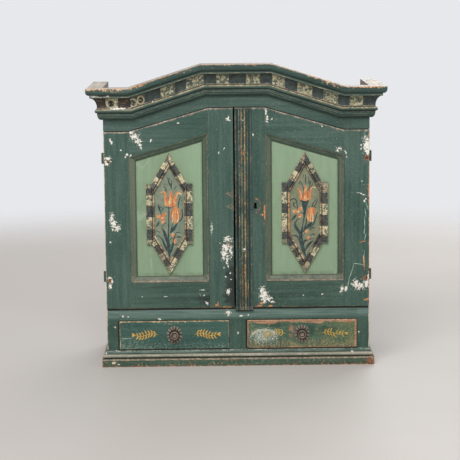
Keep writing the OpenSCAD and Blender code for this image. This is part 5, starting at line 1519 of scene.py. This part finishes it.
        [(-31.6, -28.4, 1.6), (-29.2, -46.1, 9.5), (-19.8, -60.1, 9), (-12.5, -74.1, 6)],
        [(14.6, -55.1, 1.3), (22.1, -49.8, 3.4), (31.7, -51.4, 1.9)],
        [(21, -53.4, 1.7), (16.8, -58.4, 1.1)],
        [(17.8, -74.9, 1.3), (24.6, -69.9, 2.7), (28.9, -74.6, 1.7)],
        [(28.9, -67.1, 1.1), (30.6, -74.6, 1.7)],
        [(-13.8, -84.9, 2.5), (-20.6, -78.4, 1.7), (-31.2, -76.6, 1.7), (-40.2, -74.6, 1.1)],
        [(-7.4, -95.8, 2.5), (0.7, -89.9, 2.3), (10.3, -89.4, 1.5)],
        [(-7.8, -76.4, 2.1), (-2.5, -72.1, 1.5), (0.8, -66.8, 0.8)],
        [(2.6, -122.9, 3), (8.1, -110.2, 8.4), (17.6, -99.1, 7.4), (27.7, -90.6, 1.5)],
        [(-3.6, -106.6, 1.7), (-1.5, -95.9, 1.1)],
    ],
    ("right", "petal"): [
        [(-10, 41.9, 8.4), (-13.4, 52.5, 8.4), (-14.2, 67.5, 8), (-17.5, 74.5, 5.5), (-23.9, 77, 1.7)],
        [(1.1, 41.2, 16.9), (1.9, 52.4, 15.2), (2.4, 69.5, 9.3), (2.9, 85.4, 5.5)],
        [(14.2, 44.8, 11), (15.1, 56.5, 10.5), (17.7, 69.4, 9.3), (21.5, 77.9, 5.1), (28.8, 81.6, 1.7)],
        [(-5.3, 41.8, 10.5), (-7, 50.4, 5.1)], [(9.6, 42, 9.7), (9.1, 50.1, 5.1)],
        [(16.2, -27.1, 11.8), (16.6, -16.4, 20.6), (20.5, -3.6, 21.9), (23.1, 13.6, 9.7)],
        [(10.5, -7.8, 5.5), (11.6, 5.1, 6.3), (15.4, 14.1, 2.5)],
        [(30.7, -3.6, 5.5), (30.3, 9.2, 5.9), (27.6, 14.4, 2.5)],
        [(-25.4, 2.4, 6.3), (-31, 3.4, 11.8), (-37.3, 5.6, 6.3)],
        [(-19, 7.6, 6.3), (-12.8, 12.9, 11.8), (-10.1, 17.1, 5.1)],
        [(-19.3, -5.2, 7.6), (-15.7, -10.6, 13.1), (-17.2, -17.1, 6.3)],
        [(5.4, -66.9, 4.6), (5.9, -60.4, 9.3), (7.2, -53.9, 2.9)],
        [(11.4, -88.4, 3.8), (11.4, -81.9, 9.3), (13.9, -76.1, 2.5)],
    ],
    ("right", "light"): [
        [(-12.1, 43.5, 2.5), (-10.8, 56.9, 2.9), (-13.3, 68.6, 1.3)], [(0.2, 42.8, 3.8), (1.1, 54.5, 1.7)],
        [(17.3, 71.5, 1.7), (22, 78.2, 2.1), (29.2, 80.8, 2.9), (34.1, 78.1, 2.9)],
        [(5, 73.8, 1.7), (4.6, 81.2, 1.3)], [(11.5, -25.9, 4.6), (10.5, -15.2, 3.8), (12, -3.4, 1.7)],
        [(18.3, -28.2, 3.4), (16.2, -16.4, 2.1)], [(24.7, -29.4, 5.1), (26.4, -16.4, 4.2), (26, -5.8, 1.7)],
        [(18.8, -16.4, 2.5), (20.5, -1.4, 2.1), (21.4, 9.4, 1.3)], [(-19.9, 2.1, 9.3), (-20.7, 2.9, 8.4)],
        [(-10.9, 13.9, 5.1), (-9.7, 15.6, 3.8)], [(-13.6, -13.4, 3.4), (-17.8, -14.9, 2.9)],
        [(-35.2, 1.4, 4.6), (-36.1, 5.6, 3.8)], [(4, -63.6, 2.1), (4.6, -57.1, 1.3)],
        [(9.7, -85.1, 2.1), (10.1, -79.8, 1.3)],
    ],
    ("right", "deep"): [
        [(12, -12.1, 1.3), (11.6, 2.9, 2.1), (16.3, 13.6, 1.1)],
        [(14.7, -22.9, 1.3), (14.5, -7.8, 1.7), (17.1, 5.1, 0.8)],
        [(22.2, -22.9, 1.3), (22.6, -7.9, 1.7), (20.5, 5.1, 0.8)],
        [(28.6, -14.4, 1.3), (29.4, 0.6, 1.9), (27.3, 11.4, 0.8)],
        [(-5.3, 42.9, 1.1), (-6.1, 54.6, 1.9), (-1, 69.5, 0.8)],
        [(7.9, 42.6, 1.1), (8.7, 56.5, 1.9), (5.8, 69.5, 0.8)], [(13.8, 48, 1.3), (14.3, 60.9, 0.8)],
        [(-28.8, 0.2, 3.4), (-31.4, 5.6, 2.1)], [(-17.3, 10.1, 2.1), (-13.1, 11.4, 1.7)],
        [(-21.4, -9.9, 1.7), (-13.6, -8.8, 2.1)],
    ],
}
SPRAY_LAYERS = {
    "stem": (0.16, ((34, 50, 52), (48, 67, 67), (70, 92, 86))),
    "petal": (0.28, ((182, 106, 64), (210, 136, 84), (228, 176, 122))),
    "deep": (0.40, ((142, 74, 50), (168, 92, 60), (190, 114, 76))),
    "light": (0.46, ((208, 160, 112), (222, 192, 146), (232, 216, 178))),
}
for side, door in SIDES:
    x = side * HEX_X / MM
    for i, (layer, (raised, shades)) in enumerate(SPRAY_LAYERS.items()):
        finish = brushed(f"{door}_{layer}_colour", *shades, i + x * 0.01)
        brushwork(f"{door}_spray_{layer}", SPRAYS[door, layer], (x, HEX_Z / MM), PANEL_FACE, raised, finish,
                  door + "_door", i, 1.1 if layer == "stem" else 0.5)


def leafy_sprig(length, curls, turn, seed):
    """A running stem with leaves in pairs and a bud at its end, as strokes about its own middle."""
    rng = random.Random(seed)
    stem = []
    for t in (i / 8 for i in range(9)):
        wide = 1.5 + 1.1 * math.sin(t * math.pi)
        stem.append((turn * (t - 0.5) * length, 4.5 * math.sin(t * math.pi * curls), wide))
    strokes = [stem]
    for i in range(1, 8):
        x, z, _ = stem[i]
        for up in (1, -1):
            reach = (15.5 - abs(i - 4) * 1.4) * rng.uniform(0.85, 1.05)
            tip = (x + turn * (6.5 + rng.uniform(-1, 1.5)), z + up * reach, 0.8)
            strokes.append([(x, z, 1.2), (x + turn * 1.2, z + up * reach * 0.5, 4.6), tip])
    x, z, _ = stem[-1]
    for spread in (-5.0, 0.0, 5.0):
        strokes.append([(x, z, 2.4), (x + turn * 5, z + spread * 0.7, 4.2), (x + turn * 11, z + spread, 0.9)])
    return strokes


GOLD = ((170, 128, 56), (204, 160, 72), (222, 186, 104))
FAINT_GOLD = ((148, 122, 62), (186, 152, 72), (206, 176, 92))
DRAWER_FACE = DRAWER_Y / MM
for drawer, side, shades, level in (("left", -1, GOLD, 0.3), ("right", 1, FAINT_GOLD, 0.22)):
    for name, out, turn, seed in (("outer", 101.5, 1, 3), ("inner", -90.0, -1, 4)):
        strokes = leafy_sprig(74, 2, turn, seed + side)
        if drawer == "right":
            rng = random.Random(seed)
            strokes = [s for s in strokes if rng.random() < (0.45 if name == "inner" else 0.8)]
        finish = brushed(f"{drawer}_{name}_gold", *shades, seed + side)
        middle = (side * PULL_X / MM + out, 101.5)
        brushwork(f"{drawer}_drawer_sprig_{name}", strokes, middle, DRAWER_FACE, level, finish,
                  drawer + "_drawer", seed)

# Drawer pulls: a flowered plate and a dished knob, in mm from the plate's middle
LOBES = 14
PLATE = (19.4, 23.9)
LOBE = 5.6
PETAL_RINGS = ((1.0, 0.0, 0.0), (1.0, 0.9, 0.0), (0.97, 1.7, 0.5), (0.86, 2.35, 1.0), (0.72, 2.5, 1.0),
               (0.58, 2.2, 0.9), (0.50, 1.5, 0.5))
KNOB_RINGS = ((12.4, 1.5), (12.0, 2.9), (11.2, 3.4), (10.0, 3.2), (8.4, 3.4), (8.2, 5.6), (8.8, 7.4),
              (11.2, 9.0), (12.9, 10.4), (13.6, 12.4), (13.4, 14.3), (12.4, 15.3), (11.2, 15.4), (10.1, 14.8),
              (9.4, 13.2), (8.0, 11.2), (5.6, 9.9), (3.0, 9.6), (0.8, 9.5))


def lobed(turn):
    """How far a petal reaches beyond the plate's oval at this turn, 0 in the clefts to 1 on its middle."""
    swing = abs(((turn - math.pi / 2) * LOBES / math.tau + 0.5) % 1.0 - 0.5) * 2
    return math.sqrt(max(0.0, 1 - (swing * 0.985) ** 2))


def drawer_pull(side, drawer, finish):
    """The iron pull of one drawer: rings of points from the plate's rim inwards and on over the knob."""
    steps = LOBES * 10
    rng = random.Random(side + 7)
    points, rings = [], []
    for share, height, cleft in PETAL_RINGS:
        ring = []
        for i in range(steps):
            turn = math.tau * i / steps
            bulge = lobed(turn)
            wide, high = ((PLATE[k] + LOBE * (bulge * 1.25 - 0.25)) * share for k in (0, 1))
            sunk = height - cleft * 2.1 * (1 - bulge) ** 0.7
            ring.append((wide * math.cos(turn), max(sunk, 0.25 if height else 0.0), high * math.sin(turn)))
        rings.append(ring)
    for radius, height in KNOB_RINGS:
        ring = []
        for i in range(steps):
            turn = math.tau * i / steps
            dent = 0.985 + 0.015 * noise.noise(Vector((math.cos(turn) * 2, side * 3.0, math.sin(turn) * 2)))
            oval = 1.06 if height < 3.3 and radius > 11 else 1.0
            ring.append((radius * math.cos(turn) * dent, height, radius * math.sin(turn) * dent * oval))
        rings.append(ring)
    middle = Vector((side * PULL_X, DRAWER_Y, PULL_Z))
    for ring in rings:
        points += [middle + Vector((x, -y, z)) * MM for x, y, z in ring]
    faces = []
    for k in range(len(rings) - 1):
        a, b = k * steps, (k + 1) * steps
        faces += [(a + i, a + (i + 1) % steps, b + (i + 1) % steps, b + i) for i in range(steps)]
    faces.append(tuple(range(steps)))
    faces.append(tuple((len(rings) - 1) * steps + i for i in range(steps)))
    shape(f"{drawer}_flower_pull", points, faces, finish, drawer + "_drawer",
          [drawer + "_drawer_pull"], 50)


def clefts_shade_and_dirt(f, side):
    """Painted shade, with dirt, between a pull's petals and round its knob, from how far a place stands off
    the drawer.
    """
    off = f.y * -1.0 + DRAWER_Y
    on_face = f.node("CombineXYZ", {}, {0: f.x - side * PULL_X, 1: 0.0, 2: f.z - PULL_Z})
    radius = f.node("VectorMath", {"operation": "LENGTH"}, {0: on_face}, "Value")
    oval = f.spot(side * PULL_X, PULL_Z, 0.0250, 0.0295, y=DRAWER_Y, deep=1.0)
    between = off.rise(0.0021, 0.0009) * oval.rise(0.92, 0.84)
    collar = (radius - 0.0145).size().rise(0.0036, 0.0016) * off.rise(0.0075, 0.0050)
    neck = radius.rise(0.0128, 0.0133) * off.rise(0.0040, 0.0060)
    dish = radius.rise(0.0108, 0.0100) * off.rise(0.0148, 0.0135) * radius.rise(0.0055, 0.0078)
    return between.most(collar).most(neck * 0.7).most(dish)


for side, drawer in SIDES:
    finish = forged(drawer + "_pull_iron", side * 2.0, 0.3, lambda f, s=side: clefts_shade_and_dirt(f, s))
    drawer_pull(side, drawer, finish)

low, high = cad_box
